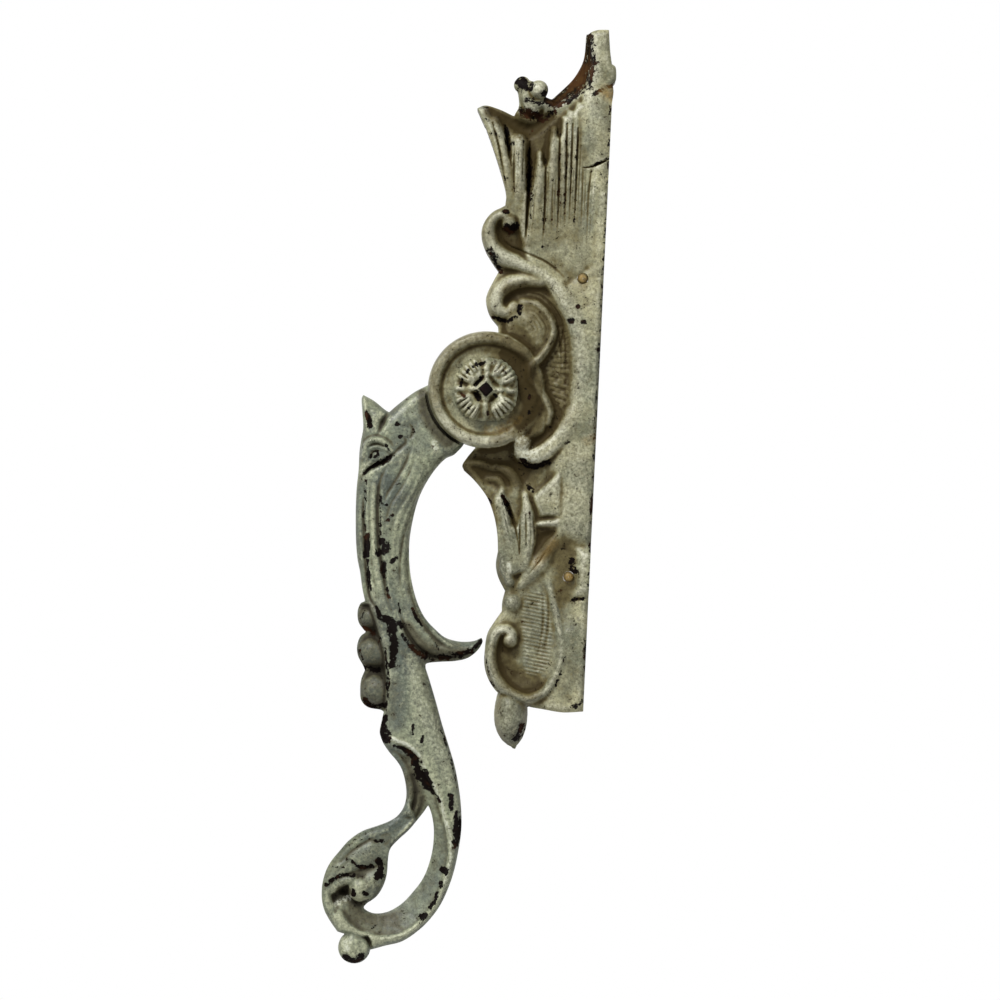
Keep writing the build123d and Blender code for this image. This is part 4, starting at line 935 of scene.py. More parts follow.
loop_hole = smooth_line([
    (-10.2, -111.6), (-11.3, -113.5), (-13.3, -116.3), (-15.3, -118.8), (-17.9, -121.4), (-19.8, -123.8),
    (-20.3, -126.5), (-20.4, -130.3), (-21.1, -133.5), (-22.8, -136.6), (-25.4, -138.8), (-26.1, -140.2),
    (-23.4, -141.4), (-19.7, -140.8), (-16.0, -138.4), (-13.0, -134.9), (-10.8, -131.6), (-9.4, -127.9),
    (-8.5, -123.3), (-8.4, -118.4), (-9.1, -114.5), (-10.2, -111.6),
])[:-1]
KNOB = (-28.2, -150.6, 4.3)
lever.join(lever.outline(closed_outline(lever_pieces)))
lever.inside = np.minimum(lever.inside, -lever.outline(loop_hole))
lever.join(lever.disc(*KNOB))

# The lever leans away from the door towards its end, and its face is gently rounded
middle = np.interp(lever.z, [-150, -120, -90, -60, -30, -12, 0], [11.0, 11.0, 10.6, 9.6, 8.8, 8.2, 7.6])
half = np.interp(lever.z, [-150, -105, -95, -60, -30, -12, 0], [3.2, 3.4, 3.8, 4.2, 3.9, 3.6, 2.6])
reach_widths = [3.0, 3.2, 7.5, 11.0, 7.5, 5.0, 3.4, 2.6]
reach = np.interp(lever.z, [-150, -110, -100, -85, -60, -30, -12, 0], reach_widths)
swell = np.sqrt(1 - (1 - np.clip(lever.inside / reach, 0, 1)) ** 2)
lever.front = middle + half * swell
lever.back = middle - half * (0.4 + 0.6 * swell)

# Horn and eye at the outer corner of the arm
lever.cut([(-25.8, -7.4), (-27.2, -10.0), (-28.0, -12.6)], [0.6, 1.5, 0.8], [0.8, 1.6, 0.6])
horn = [(-32.4, -4.0), (-31.6, -8.0), (-31.0, -12.6)]
lever.rise(horn, [0.7, 1.6, 1.4], [11.4, 12.4, 11.8], 9.0, ridge_top, 0.6)
lever.cut([(-31.6, -7.0), (-30.9, -9.5), (-30.6, -11.6)], [0.3, 0.6, 0.3], 0.7)
upper_lid = [(-32.0, -19.4), (-31.4, -16.6), (-29.6, -14.9), (-26.6, -15.3), (-23.9, -17.9)]
lever.rise(upper_lid, [0.6, 0.9, 1.0, 0.9, 0.5], [12.6, 13.0, 13.1, 12.9, 12.4], 11.2, soft=0.4)
lever.cut(beside(upper_lid, 1.2), 0.35, [0.1, 0.5, 0.5, 0.1])
lever.cut(beside(upper_lid, -1.2), 0.45, [0.3, 0.9, 0.9, 0.5])
inner_lid = [(-31.0, -20.6), (-30.6, -17.6), (-28.4, -16.6), (-25.6, -17.4)]
lever.rise(inner_lid, [0.4, 0.6, 0.6, 0.4], 12.7, 11.2)
lever.ball(-28.6, -18.9, 1.7, 12.9, 11.0, mound)
lever.cut([(-29.6, -19.4), (-29.4, -18.2), (-28.2, -17.9)], 0.4, 0.8)
for crease, crease_width, crease_depth in (
    ([(-20.4, -9.6), (-19.2, -11.2), (-19.4, -13.4), (-21.0, -14.6)],
     [0.3, 0.5, 0.5, 0.3], [0.2, 0.5, 0.5, 0.2]),
    ([(-22.0, -13.0), (-20.8, -15.0), (-22.6, -17.0), (-25.0, -19.4)],
     [0.4, 0.7, 0.7, 0.5], [0.2, 0.7, 0.8, 0.4]),
):
    lever.cut(crease, crease_width, crease_depth)
crevice = [(-32.6, -25.4), (-31.4, -23.8), (-29.3, -21.9), (-26.3, -20.4), (-23.9, -18.2)]
lever.cut(crevice, [0.4, 0.8, 1.0, 0.9, 0.4], [0.3, 1.2, 1.8, 1.6, 0.3])

# Flowing strands and grooves down the arm
arm_grooves = [
    ([(-31.6, -26.0), (-31.3, -33.7), (-30.6, -42.4), (-29.6, -51.1), (-28.2, -57.5), (-24.6, -62.2)],
     0.8, 1.2),
    ([(-29.4, -25.0), (-29.8, -31.0), (-29.4, -38.0), (-28.8, -45.0), (-27.6, -52.0), (-26.0, -57.4)],
     0.55, 0.7),
    ([(-25.4, -21.6), (-27.2, -26.0), (-27.5, -32.0), (-27.2, -38.0), (-26.6, -44.0), (-25.2, -50.0),
      (-24.0, -56.0), (-22.2, -61.0)], 0.9, 1.2),
    ([(-19.0, -15.4), (-20.6, -20.6), (-23.0, -25.4), (-25.2, -29.4), (-26.0, -33.6)], 0.7, 0.7),
    ([(-17.4, -16.6), (-19.2, -22.6), (-21.4, -27.4), (-23.8, -31.6), (-25.0, -36.0), (-25.4, -40.6)],
     0.5, 0.55),
    ([(-15.8, -18.0), (-17.7, -24.6), (-20.0, -29.6), (-22.2, -34.0), (-23.4, -38.6), (-23.6, -44.0)],
     0.5, 0.5),
    ([(-14.4, -18.6), (-16.4, -25.6), (-18.8, -31.0), (-20.9, -36.4), (-22.0, -42.0), (-22.0, -49.0)],
     0.5, 0.5),
    ([(-13.0, -19.4), (-15.2, -26.6), (-17.8, -32.5), (-19.8, -38.4), (-20.7, -45.0), (-20.6, -52.0),
      (-19.0, -58.6)], 0.6, 0.7),
]
for line, width, depth in arm_grooves:
    tapered = [0.5 * width, width, width, width, 0.5 * width]
    lever.cut(line, tapered, [0.2 * depth, depth, depth, depth, 0.2 * depth])
    lever.cut(beside(line, -0.75), 0.25, [0.0, 0.2, 0.25, 0.2, 0.0])
twist = [(-26.8, -33.0), (-25.4, -36.4), (-26.2, -40.0), (-25.6, -44.0)]
lever.rise(twist, [0.3, 0.8, 0.7, 0.3], [12.4, 13.0, 12.8, 12.2], 11.0, bell)

# Hook: a smooth crescent with a sunk lower edge
hook_edge = [
    (-20.4, -60.0), (-18.7, -64.5), (-16.6, -67.9), (-14.0, -70.4), (-10.8, -71.8), (-6.6, -72.0),
    (-2.4, -71.0),
]
lever.cut(hook_edge, [0.4, 0.8, 1.0, 1.0, 0.9, 0.8, 0.4], [0.3, 1.0, 1.5, 1.8, 1.8, 1.4, 0.4])
hook = [
    (-17.0, -44.0), (-16.4, -53.1), (-14.0, -59.8), (-10.5, -65.4), (-6.0, -68.9), (-1.8, -69.6),
    (1.4, -67.7),
]
lever.rise(hook, [1.4, 1.7, 2.0, 2.2, 2.1, 1.7, 0.9], [12.8, 13.4, 13.8, 13.8, 13.0, 12.2, 11.4], 10.0, bell)

# A rounded ridge runs slantwise down the stem
stem_ridge = [(-20.0, -72.0), (-17.8, -82.0), (-14.4, -91.0), (-10.4, -100.0), (-6.8, -110.0)]
lever.rise(stem_ridge, [3.0, 6.0, 6.6, 4.6, 2.6], [14.0, 15.2, 15.6, 15.2, 14.4], 11.6, mound, 0.9)

# Side lobes, sunk beside the stem's edge
lobe_field = [
    (-34.0, -57.6), (-28.3, -58.6), (-26.3, -63.0), (-24.8, -67.7), (-23.4, -72.2), (-22.7, -78.3),
    (-22.5, -86.8), (-24.4, -88.6), (-34.0, -89.0),
]
lever.level(lobe_field, 8.8, 0.9)
for line, width, top in (
    ([(-28.2, -62.2), (-25.0, -62.6)], 3.2, 11.6),
    ([(-27.3, -71.4), (-23.6, -71.8)], 4.0, 12.0),
    ([(-25.6, -81.7), (-22.6, -82.0)], 4.6, 12.4),
):
    lever.rise(line, width, top, 7.2, round_top, 0.6)

# The stalk and the bud lie lower than the face; a sharp edge runs from the ledge round the loop
bud_field = [
    (-26.0, -94.6), (-20.6, -95.4), (-15.6, -98.0), (-12.6, -103.0), (-9.6, -111.0), (-14.0, -116.5),
    (-19.0, -122.0), (-20.0, -127.0), (-20.6, -133.0), (-25.0, -139.0), (-30.0, -138.6), (-34.0, -143.0),
    (-42.0, -142.0), (-40.0, -124.0), (-28.0, -116.0), (-14.0, -114.0), (-14.0, -104.0), (-18.0, -99.0),
]
lever.level(bud_field, 12.6, 0.9)
edge_line = [
    (-22.6, -93.8), (-21.6, -94.1), (-18.6, -95.0), (-16.4, -95.8), (-13.6, -98.0), (-11.9, -101.4),
    (-9.5, -105.6), (-7.8, -108.2), (-6.6, -111.4), (-5.3, -115.6), (-4.1, -119.3), (-3.6, -123.0),
    (-3.7, -126.3), (-5.2, -133.3), (-6.6, -137.1), (-8.8, -140.8), (-11.6, -143.9), (-15.6, -146.6),
    (-19.9, -147.6), (-24.2, -147.4), (-27.4, -146.4), (-30.2, -144.4), (-32.5, -141.4),
]
lever.bank(edge_line, [14.4, 14.5, 14.4, 14.2, 14.0, 13.6], 0.9, 0.42, 8.0)
edge_top = [14.4, 14.9, 14.7, 14.4, 14.1, 13.7]
lever.rise(edge_line[1:], [0.6, 0.9, 0.9, 0.8, 0.7, 0.6], edge_top, 12.5, ridge_top, 0.5)
ledge = [(-22.4, -95.2), (-19.6, -96.4), (-17.0, -98.4)]
lever.rise(ledge, [1.0, 1.3, 0.9], [13.0, 13.4, 13.0], 10.0, soft=0.5)

# Stalk and curled bud
stalk = [
    (-19.8, -98.6), (-17.0, -102.4), (-15.3, -106.7), (-15.2, -111.0), (-17.2, -115.2), (-20.6, -118.4),
    (-24.6, -121.0),
]
lever.rise(stalk, [1.5, 1.4, 1.3, 1.3, 1.4, 1.6, 1.4], [12.4, 12.4, 12.4, 12.8, 13.4], 9.6, soft=0.4)
lever.rise(beside(stalk[1:], 2.3), [0.7, 0.9, 1.0, 1.1, 1.0], [11.4, 11.8, 12.4, 13.0], 9.8, soft=0.4)
bud_lobes = [
    ([(-20.5, -118.8), (-24.5, -120.4), (-29.4, -123.0), (-33.2, -127.6), (-35.4, -133.0)],
     [1.8, 2.6, 3.4, 3.4, 2.4], [12.8, 13.2, 13.4, 13.4, 13.0]),
    ([(-21.6, -125.2), (-25.0, -125.4), (-28.6, -127.2)], [2.6, 3.8, 3.0], [13.6, 14.3, 14.0]),
    ([(-29.6, -129.0), (-32.6, -130.0), (-35.0, -132.4)], [2.4, 3.0, 2.0], [13.8, 14.2, 13.6]),
    ([(-22.6, -130.6), (-24.2, -132.6), (-25.2, -135.0)], [2.4, 2.8, 2.4], [13.4, 13.9, 13.8]),
    ([(-29.4, -132.4), (-32.4, -132.9), (-34.8, -135.2)], [1.6, 1.8, 1.4], [13.8, 13.9, 13.4]),
    ([(-27.4, -134.8), (-27.3, -135.0)], 3.3, 14.8),
]
for line, width, top in bud_lobes:
    lever.rise(line, width, top, 12.6, mound, 0.2)
for line in (
    [(-20.4, -119.6), (-25.0, -121.4), (-30.0, -124.8), (-33.6, -128.6)],
    [(-22.0, -118.2), (-26.6, -120.0), (-31.4, -123.8), (-35.0, -129.0)],
    [(-30.4, -127.4), (-32.6, -129.4), (-34.6, -131.0)],
    [(-24.6, -128.6), (-27.6, -129.8), (-30.6, -131.0), (-34.0, -133.4)],
):
    lever.cut(line, 0.4, [0.1, 0.5, 0.5, 0.1])
bud_rim = [(-36.0, -134.0), (-36.0, -138.6), (-34.0, -142.6), (-30.6, -145.0)]
lever.rise(bud_rim, [1.4, 1.6, 1.8, 1.4], [13.0, 13.3, 13.4, 13.2], 10.5, soft=0.5)
lever.cut([(-30.9, -135.6), (-32.4, -135.6)], [1.0, 0.9], 1.4)
over_knob = lever.front.copy()
lever.dome(spot(*KNOB[:2]), KNOB[2], 14.4, 11.0)
lever.front = np.where(lever.z > KNOB[1] + 3.2, np.maximum(lever.front, over_knob), lever.front)
lever.back = np.where(lever.disc(*KNOB) > 0, np.minimum(lever.back, 8.2), lever.back)
lever.soften(0.3)
lever.roughen(6, 0.06)

# Hub disc with its square, and room for the arm's root under the ring
hub = lever.disc(0, 0, HUB_RADIUS)
lever.inside = np.maximum(lever.inside, hub)
lever_radius = np.hypot(lever.x, lever.z)
climb = np.clip((lever_radius - RING_RADIUS - ARM_CLEARANCE) / ARM_RAMP, 0, 1) * ARM_FREE
lever.front = np.where(hub > 0, HUB_FRONT, np.minimum(lever.front, HUB_FRONT + climb))
lever.back = np.where(hub > 0, HUB_BACK, np.maximum(lever.back, HUB_BACK - climb))
square = np.maximum(np.abs(lever.x), np.abs(lever.z)) - SPINDLE_SQUARE / 2
lever.inside = np.minimum(lever.inside, square)

lever_chips = [
    ([(-31.6, -7.7), (-30.9, -9.5), (-30.5, -11.4)], 0.5, 1.0),
    ([(-23.3, -10.3), (-23.2, -10.3)], 0.45, 1.0),
    ([(-22.4, -13.5), (-22.3, -13.5)], 0.4, 1.0),
    ([(-19.2, -10.8), (-18.6, -12.2)], 0.25, 0.7),
    ([(-31.4, -23.8), (-29.3, -21.9), (-26.3, -20.4), (-24.0, -18.4)], [0.3, 0.4, 0.6, 0.4], 0.82),
    ([(-30.0, -19.6), (-29.5, -18.3), (-28.2, -17.9), (-27.8, -18.8)], 0.3, 0.85),
    ([(-28.9, -19.5), (-28.6, -19.2)], 0.3, 0.9),
    ([(-26.0, -16.2), (-25.0, -17.6)], 0.3, 0.75),
    ([(-26.0, -41.6), (-24.8, -43.3), (-26.7, -45.2)], [0.6, 1.2, 0.6], 0.9),
    ([(-29.9, -40.6), (-29.8, -45.6)], 0.6, 1.0),
    ([(-22.0, -46.1), (-23.1, -47.2)], 0.45, 0.9),
    ([(-24.9, -47.6), (-25.1, -49.8)], 0.5, 0.9),
    ([(-23.4, -34.8), (-24.6, -36.2)], 0.4, 0.85),
    ([(-29.6, -47.1), (-29.2, -51.0), (-28.6, -55.0)], 0.4, 0.85),
    ([(-26.5, -31.8), (-25.0, -32.0)], 0.3, 0.8),
    ([(-31.0, -26.0), (-31.1, -33.0), (-30.4, -42.0)], 0.4, 0.62),
    ([(-26.8, -30.0), (-26.8, -38.0), (-25.8, -46.0), (-24.4, -54.0)], 0.4, 0.6),
    ([(-24.0, -54.1), (-23.3, -56.7)], 0.3, 0.8),
    ([(-20.6, -58.3), (-20.2, -61.0)], 0.3, 0.8),
    ([(-26.6, -59.5), (-25.1, -62.1), (-22.4, -63.1), (-21.9, -66.6), (-21.2, -68.9), (-21.4, -71.2),
      (-21.6, -74.7)], [0.3, 0.6, 0.9, 0.9, 0.8, 0.8, 0.5], 1.0),
    ([(-25.1, -68.0), (-23.8, -71.3), (-22.9, -75.6), (-22.6, -80.0), (-22.2, -84.0), (-22.6, -87.4)],
     0.5, 0.62),
    ([(-20.1, -63.3), (-19.4, -64.3)], 0.5, 1.0),
    ([(-17.0, -59.4), (-15.1, -62.8), (-14.2, -63.9)], 0.35, 0.9),
    ([(-19.3, -66.5), (-17.2, -68.9), (-15.0, -71.0), (-11.4, -72.2), (-6.8, -71.8), (-3.9, -71.2),
      (-0.5, -70.0)], [0.4, 0.6, 0.8, 0.9, 0.8, 0.6], 0.72),
    ([(-11.7, -66.7), (-9.9, -68.9), (-9.2, -71.8)], 0.3, 0.6),
    ([(0.6, -68.8), (1.8, -67.2)], 0.5, 0.8),
    ([(-29.6, -65.4), (-27.0, -66.4)], 0.6, 0.8),
    ([(-28.9, -75.8), (-25.4, -76.4)], 0.6, 0.8),
    ([(-28.4, -84.9), (-26.0, -86.2), (-23.1, -85.6)], 0.7, 0.85),
    ([(-29.6, -60.0), (-30.8, -62.6)], 0.4, 0.6),
    ([(-30.8, -71.0), (-29.8, -73.6)], 0.4, 0.7),
    ([(-22.8, -88.6), (-23.0, -91.6), (-22.6, -94.2)], [0.5, 0.9, 1.1], 1.0),
    # Painted shadow laid as bare iron: a dark band under the ledge, and below it a dark wedge under the
    # stem's edge
    ([(-20.0, -96.2), (-17.4, -97.0), (-14.9, -98.6), (-13.6, -100.6)], [0.3, 0.4, 0.6, 0.8], 0.95),
    ([(-14.2, -100.6), (-12.6, -103.4), (-10.9, -106.0), (-9.2, -108.2)], [0.8, 1.2, 1.0, 0.5], 1.0),
    ([(-8.4, -108.8), (-7.3, -110.4)], 0.35, 0.85),
    ([(-7.6, -91.5), (-5.5, -97.3), (-3.8, -102.4), (-2.6, -106.4)], 0.3, 0.65),
    ([(-4.3, -108.5), (-4.0, -112.1)], 0.6, 0.9),
    ([(-2.4, -113.4), (-1.9, -118.0), (-2.4, -122.0)], [0.6, 0.9, 0.6], 0.95),
    ([(-15.2, -90.2), (-15.4, -92.8)], 0.3, 0.85),
    ([(-12.5, -93.4), (-12.8, -94.6)], 0.3, 0.9),
    ([(-29.6, -122.0), (-26.0, -121.4), (-23.6, -121.6)], 0.3, 0.6),
    ([(-23.4, -121.7), (-22.0, -121.9)], 0.5, 0.9),
    ([(-34.8, -129.2), (-31.8, -129.4)], 0.3, 0.6),
    ([(-31.4, -127.0), (-29.9, -127.5), (-28.3, -128.7)], 0.35, 0.8),
    ([(-28.0, -128.8), (-26.1, -129.0), (-24.3, -128.6)], 0.5, 0.9),
    ([(-36.4, -134.2), (-34.5, -132.6), (-32.4, -131.4), (-29.2, -131.2)], 0.45, 0.9),
    ([(-22.6, -127.3), (-22.0, -129.0), (-22.8, -131.0)], 0.9, 0.95),
    ([(-29.1, -135.3), (-28.9, -136.2)], 0.4, 0.9),
    ([(-26.2, -135.7), (-25.4, -136.2)], 0.4, 0.9),
    ([(-30.6, -153.4), (-28.0, -154.2), (-25.6, -152.6)], 0.7, 0.9),
    ([(-5.4, -128.5), (-5.2, -129.2)], 0.6, 1.0),
    ([(-5.9, -132.0), (-5.8, -132.8)], 0.55, 1.0),
    ([(-6.8, -134.8), (-7.3, -137.6)], 0.35, 0.9),
    ([(-8.6, -138.8), (-7.7, -137.6)], 0.35, 0.9),
    ([(-9.8, -141.0), (-10.2, -141.3)], 0.6, 1.0),
    ([(-23.6, -145.1), (-22.6, -144.6)], 0.3, 0.9),
]
lever.marks("bare", lever_chips)
lever_soil_and_shadow = [
    ([(-18.0, -64.0), (-14.0, -69.4), (-8.0, -71.4), (-2.0, -70.4)], [0.8, 1.4, 1.4, 0.8], 0.6),
    ([(-28.8, -62.0), (-28.7, -62.0)], 2.8, 0.3),
    ([(-27.4, -71.6), (-27.3, -71.6)], 3.6, 0.3),
    ([(-26.0, -82.4), (-25.9, -82.4)], 3.8, 0.35),
    ([(-20.0, -126.0), (-27.0, -131.0), (-33.0, -134.0)], 4.0, 0.18),
    ([(-29.0, -141.0), (-24.0, -143.6), (-18.0, -143.0)], 1.6, 0.35),
    # Painted shadow down the stalk's right side
    ([(-15.4, -104.0), (-13.6, -109.4), (-12.6, -112.0)], 1.2, 0.5),
    ([(-28.0, -61.0), (-28.0, -71.0), (-26.2, -82.0)], 1.8, 0.35),
    ([(-31.0, -135.6), (-32.4, -135.6)], 0.7, 1.0),
    # Painted shadow of the ring across the arm's root
    ([(-16.6, -2.6), (-15.2, -7.6), (-12.6, -11.6), (-9.6, -14.2)], 1.0, 0.8),
]
lever.marks("dirt_and_shade", lever_soil_and_shadow)
lever_dulled_and_shaded = [
    # Painted shade: the stem's left face and its right edge are greyed as if turned from the light
    ([(-19.4, -72.0), (-18.4, -77.3), (-18.8, -84.0), (-19.6, -90.0)], [1.4, 1.8, 1.8, 1.4], 0.8),
    ([(-11.9, -78.4), (-9.4, -84.7), (-7.0, -91.0), (-4.5, -97.3), (-2.6, -103.7)], 0.9, 0.8),
    ([(-25.4, -25.6), (-23.2, -28.4), (-25.8, -31.2)], 1.8, 1.0),
    ([(-23.4, -10.4), (-21.6, -14.0)], 1.8, 0.6),
    ([(-25.6, -36.0), (-25.4, -48.0), (-22.6, -58.0)], 1.4, 0.6),
    ([(-21.6, -66.0), (-20.6, -74.0)], 1.6, 0.6),
    ([(-28.6, -62.0), (-27.6, -71.6), (-26.4, -82.0)], 2.8, 1.0),
    ([(-18.7, -68.0), (-14.0, -70.8), (-8.0, -71.0), (-3.0, -69.8), (1.0, -67.8)], 1.2, 1.0),
    ([(-24.0, -124.0), (-30.0, -128.0), (-34.0, -134.0)], 3.4, 0.45),
    # Painted shade: the stalk under the ledge is greyed
    ([(-19.4, -98.0), (-16.6, -103.0), (-15.2, -110.0), (-19.0, -117.0)], 1.6, 0.9),
    ([(-6.8, -118.0), (-6.8, -128.0), (-10.8, -138.0), (-20.0, -144.4)], 1.6, 0.5),
    ([(-31.6, -28.0), (-31.6, -40.0), (-30.0, -52.0)], 1.0, 0.7),
    ([(-30.4, -16.0), (-28.0, -20.0)], 2.4, 0.7),
    ([(-14.6, -58.0), (-10.5, -65.0), (-6.0, -68.4), (-1.8, -69.2)], 1.5, 0.45),
]
lever.marks("cool_and_shade", lever_dulled_and_shaded)
# Mostly painted highlights: down the stem, a white streak on its edge, spots on knob, bud, volute and arm;
# some thinned paint
lever_rubbed_and_highlights = [
    ([(-16.4, -73.2), (-15.1, -78.0), (-13.5, -83.8), (-11.1, -89.6), (-8.4, -94.8), (-6.0, -100.6),
      (-4.8, -106.0)],
     [1.2, 1.5, 1.7, 2.0, 1.8, 1.3, 0.8], 0.55),
    (edge_line[1:5], 0.4, 1.15),
    (edge_line[4:14], 0.4, 0.95),
    (edge_line[13:20], 0.4, 0.6),
    ([(-18.6, -52.0), (-16.0, -60.0), (-12.0, -66.0), (-7.0, -68.2)], 0.9, 0.3),
    ([(-13.3, -14.6), (-12.5, -16.8)], 0.6, 0.9),
    ([(-15.6, -27.0), (-18.0, -34.0), (-18.9, -42.0)], 1.0, 0.45),
    ([(-33.4, -139.2), (-32.0, -138.2), (-30.2, -137.4)], 0.7, 0.9),
    ([(-30.4, -149.4), (-30.0, -151.0)], 0.9, 0.9),
    ([(-27.6, -133.4), (-25.8, -133.8)], 0.8, 0.5),
    ([(-32.0, -24.0), (-31.6, -21.6), (-28.4, -21.6)], 0.4, 0.7),
]
lever.marks("pale_and_highlight", lever_rubbed_and_highlights)
lever_piece = lever.mesh("lever_relief", 0.45)

# Rosette

rosette = Relief((-10.0, -10.0), (10.0, 10.0))
out = np.hypot(rosette.x, rosette.z)
angle = np.arctan2(rosette.z, rosette.x)
corner_reach = (np.abs(rosette.x) + np.abs(rosette.z)) / sqrt(2)
aside = (np.abs(rosette.x) - np.abs(rosette.z)) / sqrt(2)
lobe = smooth_step(0.8 - np.cos(4 * angle))
ribs = np.abs(np.cos(ROSETTE_RIBS * np.arctan2(aside, corner_reach + 4.0))) ** 0.6
rosette.join(ROSETTE_RADIUS - 0.5 + lobe * (0.1 + 0.4 * ribs) - out)
rosette.inside = np.minimum(rosette.inside, corner_reach - TANG_SQUARE / 2)
rosette.back[:] = DISH + 0.3
dome = np.sqrt(np.clip(1 - (out / (ROSETTE_RADIUS + 0.5)) ** 2, 0, 1))
belt = np.clip(np.sin(pi * np.clip((out - 3.4) / 6.2, 0, 1)), 0, 1)
rosette.front = DISH + 0.6 + (ROSETTE_TOP - DISH - 2.7) * dome + 1.4 * lobe * belt
rib_height = 1.0 + 0.35 * np.cos(angle + 2.0)
rosette.front += rib_height * lobe * smooth_step((out - 4.9) / 1.2) * (ribs - 0.6)
petal = bell(np.abs(np.sin(2 * angle)) * out / 3.0) * smooth_step((out - 1.8) / 1.0)
rosette.front += 0.45 * petal
rosette.front += 0.9 * bell(np.abs(corner_reach - 1.55) / 0.6)
rosette.front -= 0.7 * bell(np.abs(corner_reach - 2.8) / 0.8) * (1 - petal)
rosette.roughen(7, 0.26)
rosette_chips = [
    ([(-3.0, 0.9), (-1.8, 2.4), (-1.2, 3.2)], 0.45),
    ([(-2.6, -1.4), (-2.0, -2.2)], 0.6),
    ([(1.9, 2.3), (2.0, 2.4)], 0.35),
    ([(2.3, -1.2), (2.8, -1.8)], 0.4),
    ([(-3.8, 6.0), (-3.0, 6.6)], 0.4),
    ([(-1.8, 6.6), (-0.6, 7.2)], 0.4),
    ([(-6.4, 2.2), (-6.8, 0.6)], 0.35),
    ([(-6.6, -1.4), (-5.8, -2.0)], 0.3),
    ([(0.8, -6.0), (0.9, -6.6)], 0.3),
    ([(-5.4, 4.2), (-4.8, 5.0)], 0.3),
    ([(4.4, 5.2), (5.2, 4.4)], 0.25),
    ([(-4.6, -5.0), (-4.0, -5.6)], 0.2),
]
for line, width in rosette_chips:
    rosette.mark("bare", line, width, 0.85)
rosette_piece = rosette.mesh("rosette_relief", 0.6)

screw_pieces = [
    screw_end("fixing_screw_upper", *SCREW_HOLES[0], 12.4),
    screw_end("fixing_screw_lower", *SCREW_HOLES[1], 11.2),
]

for piece in (case_piece, rim_piece):
    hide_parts("case")
    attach(piece, "case_body")
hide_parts("lever")
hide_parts("rosette")
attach(lever_piece, "lever_body")
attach(rosette_piece, "lever_body")
for piece in screw_pieces:
    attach(piece, "case_body")

# Materials


class Nodes:
    """A node tree under construction, of a material or of the world."""

    def __init__(self, owner):
        owner.use_nodes = True
        self.owner = owner
        self.tree = owner.node_tree

    def add(self, kind, inputs=(), **settings):
        node = self.tree.nodes.new(kind)
        for key, value in settings.items():
            setattr(node, key, value)
        for key, value in dict(inputs).items():
            self.put(node.inputs[key], value)
        return node

    def put(self, socket, value):
        if isinstance(value, bpy.types.NodeSocket):
            self.tree.links.new(value, socket)
        else:
            socket.default_value = value

    def math(self, operation, a, b, clamp=False):
        return self.add("ShaderNodeMath", {0: a, 1: b}, operation=operation, use_clamp=clamp).outputs[0]

    def plus(self, a, b):
        return self.math("ADD", a, b)

    def less(self, a, b, clamp=False):
        return self.math("SUBTRACT", a, b, clamp)

    def times(self, a, b):
        return self.math("MULTIPLY", a, b)

    def noise(self, scale, detail=3.0, roughness=0.55):
        place = self.add("ShaderNodeTexCoord").outputs["Object"]
        inputs = {"Vector": place, "Scale": scale, "Detail": detail, "Roughness": roughness}
        return self.add("ShaderNodeTexNoise", inputs).outputs["Fac"]

    def attribute(self, name):
        return self.add("ShaderNodeAttribute", attribute_name=name).outputs["Fac"]

    def between(self, value, low, high):
        inputs = {"Value": value, "From Min": low, "From Max": high}
        return self.add("ShaderNodeMapRange", inputs, clamp=True).outputs["Result"]

    def mix(self, share, a, b):
        return self.add("ShaderNodeMix", {"Factor": share, 6: a, 7: b}, data_type="RGBA").outputs[2]

    def coat(self, under, share, amount, tone):
        """A tone laid over what is under it, by a share of at most that amount."""
        return self.mix(self.times(share, amount), under, tone)

    def finish(self, **inputs):
        shader = self.tree.nodes["Principled BSDF"]
        for key, value in inputs.items():
            self.put(shader.inputs[key.replace("_", " ")], value)
        return self.owner


# Paint tones of the two castings: fresh, aged, gone grey, thinned paler, lightly grimed and heavily grimed
# The grey tone also lays painted shade on the lever's stem, the paler one painted highlights, the grimed ones
# painted shade
CASE_TONES = (
    (0.415, 0.400, 0.240, 1), (0.215, 0.230, 0.150, 1), (0.105, 0.117, 0.084, 1),
    (0.580, 0.575, 0.430, 1), (0.140, 0.114, 0.042, 1), (0.032, 0.022, 0.007, 1),
)
LEVER_TONES = (
    (0.290, 0.318, 0.205, 1), (0.140, 0.165, 0.128, 1), (0.082, 0.104, 0.088, 1),
    (0.500, 0.515, 0.345, 1), (0.098, 0.090, 0.048, 1), (0.022, 0.019, 0.012, 1),
)
# Near-white of the painted highlights
PAINTED_HIGHLIGHT = (0.56, 0.58, 0.48, 1)
IRON = (0.0065, 0.0048, 0.0042, 1)
RUST = (0.040, 0.017, 0.008, 1)
OCHRE = (0.30, 0.19, 0.05, 1)


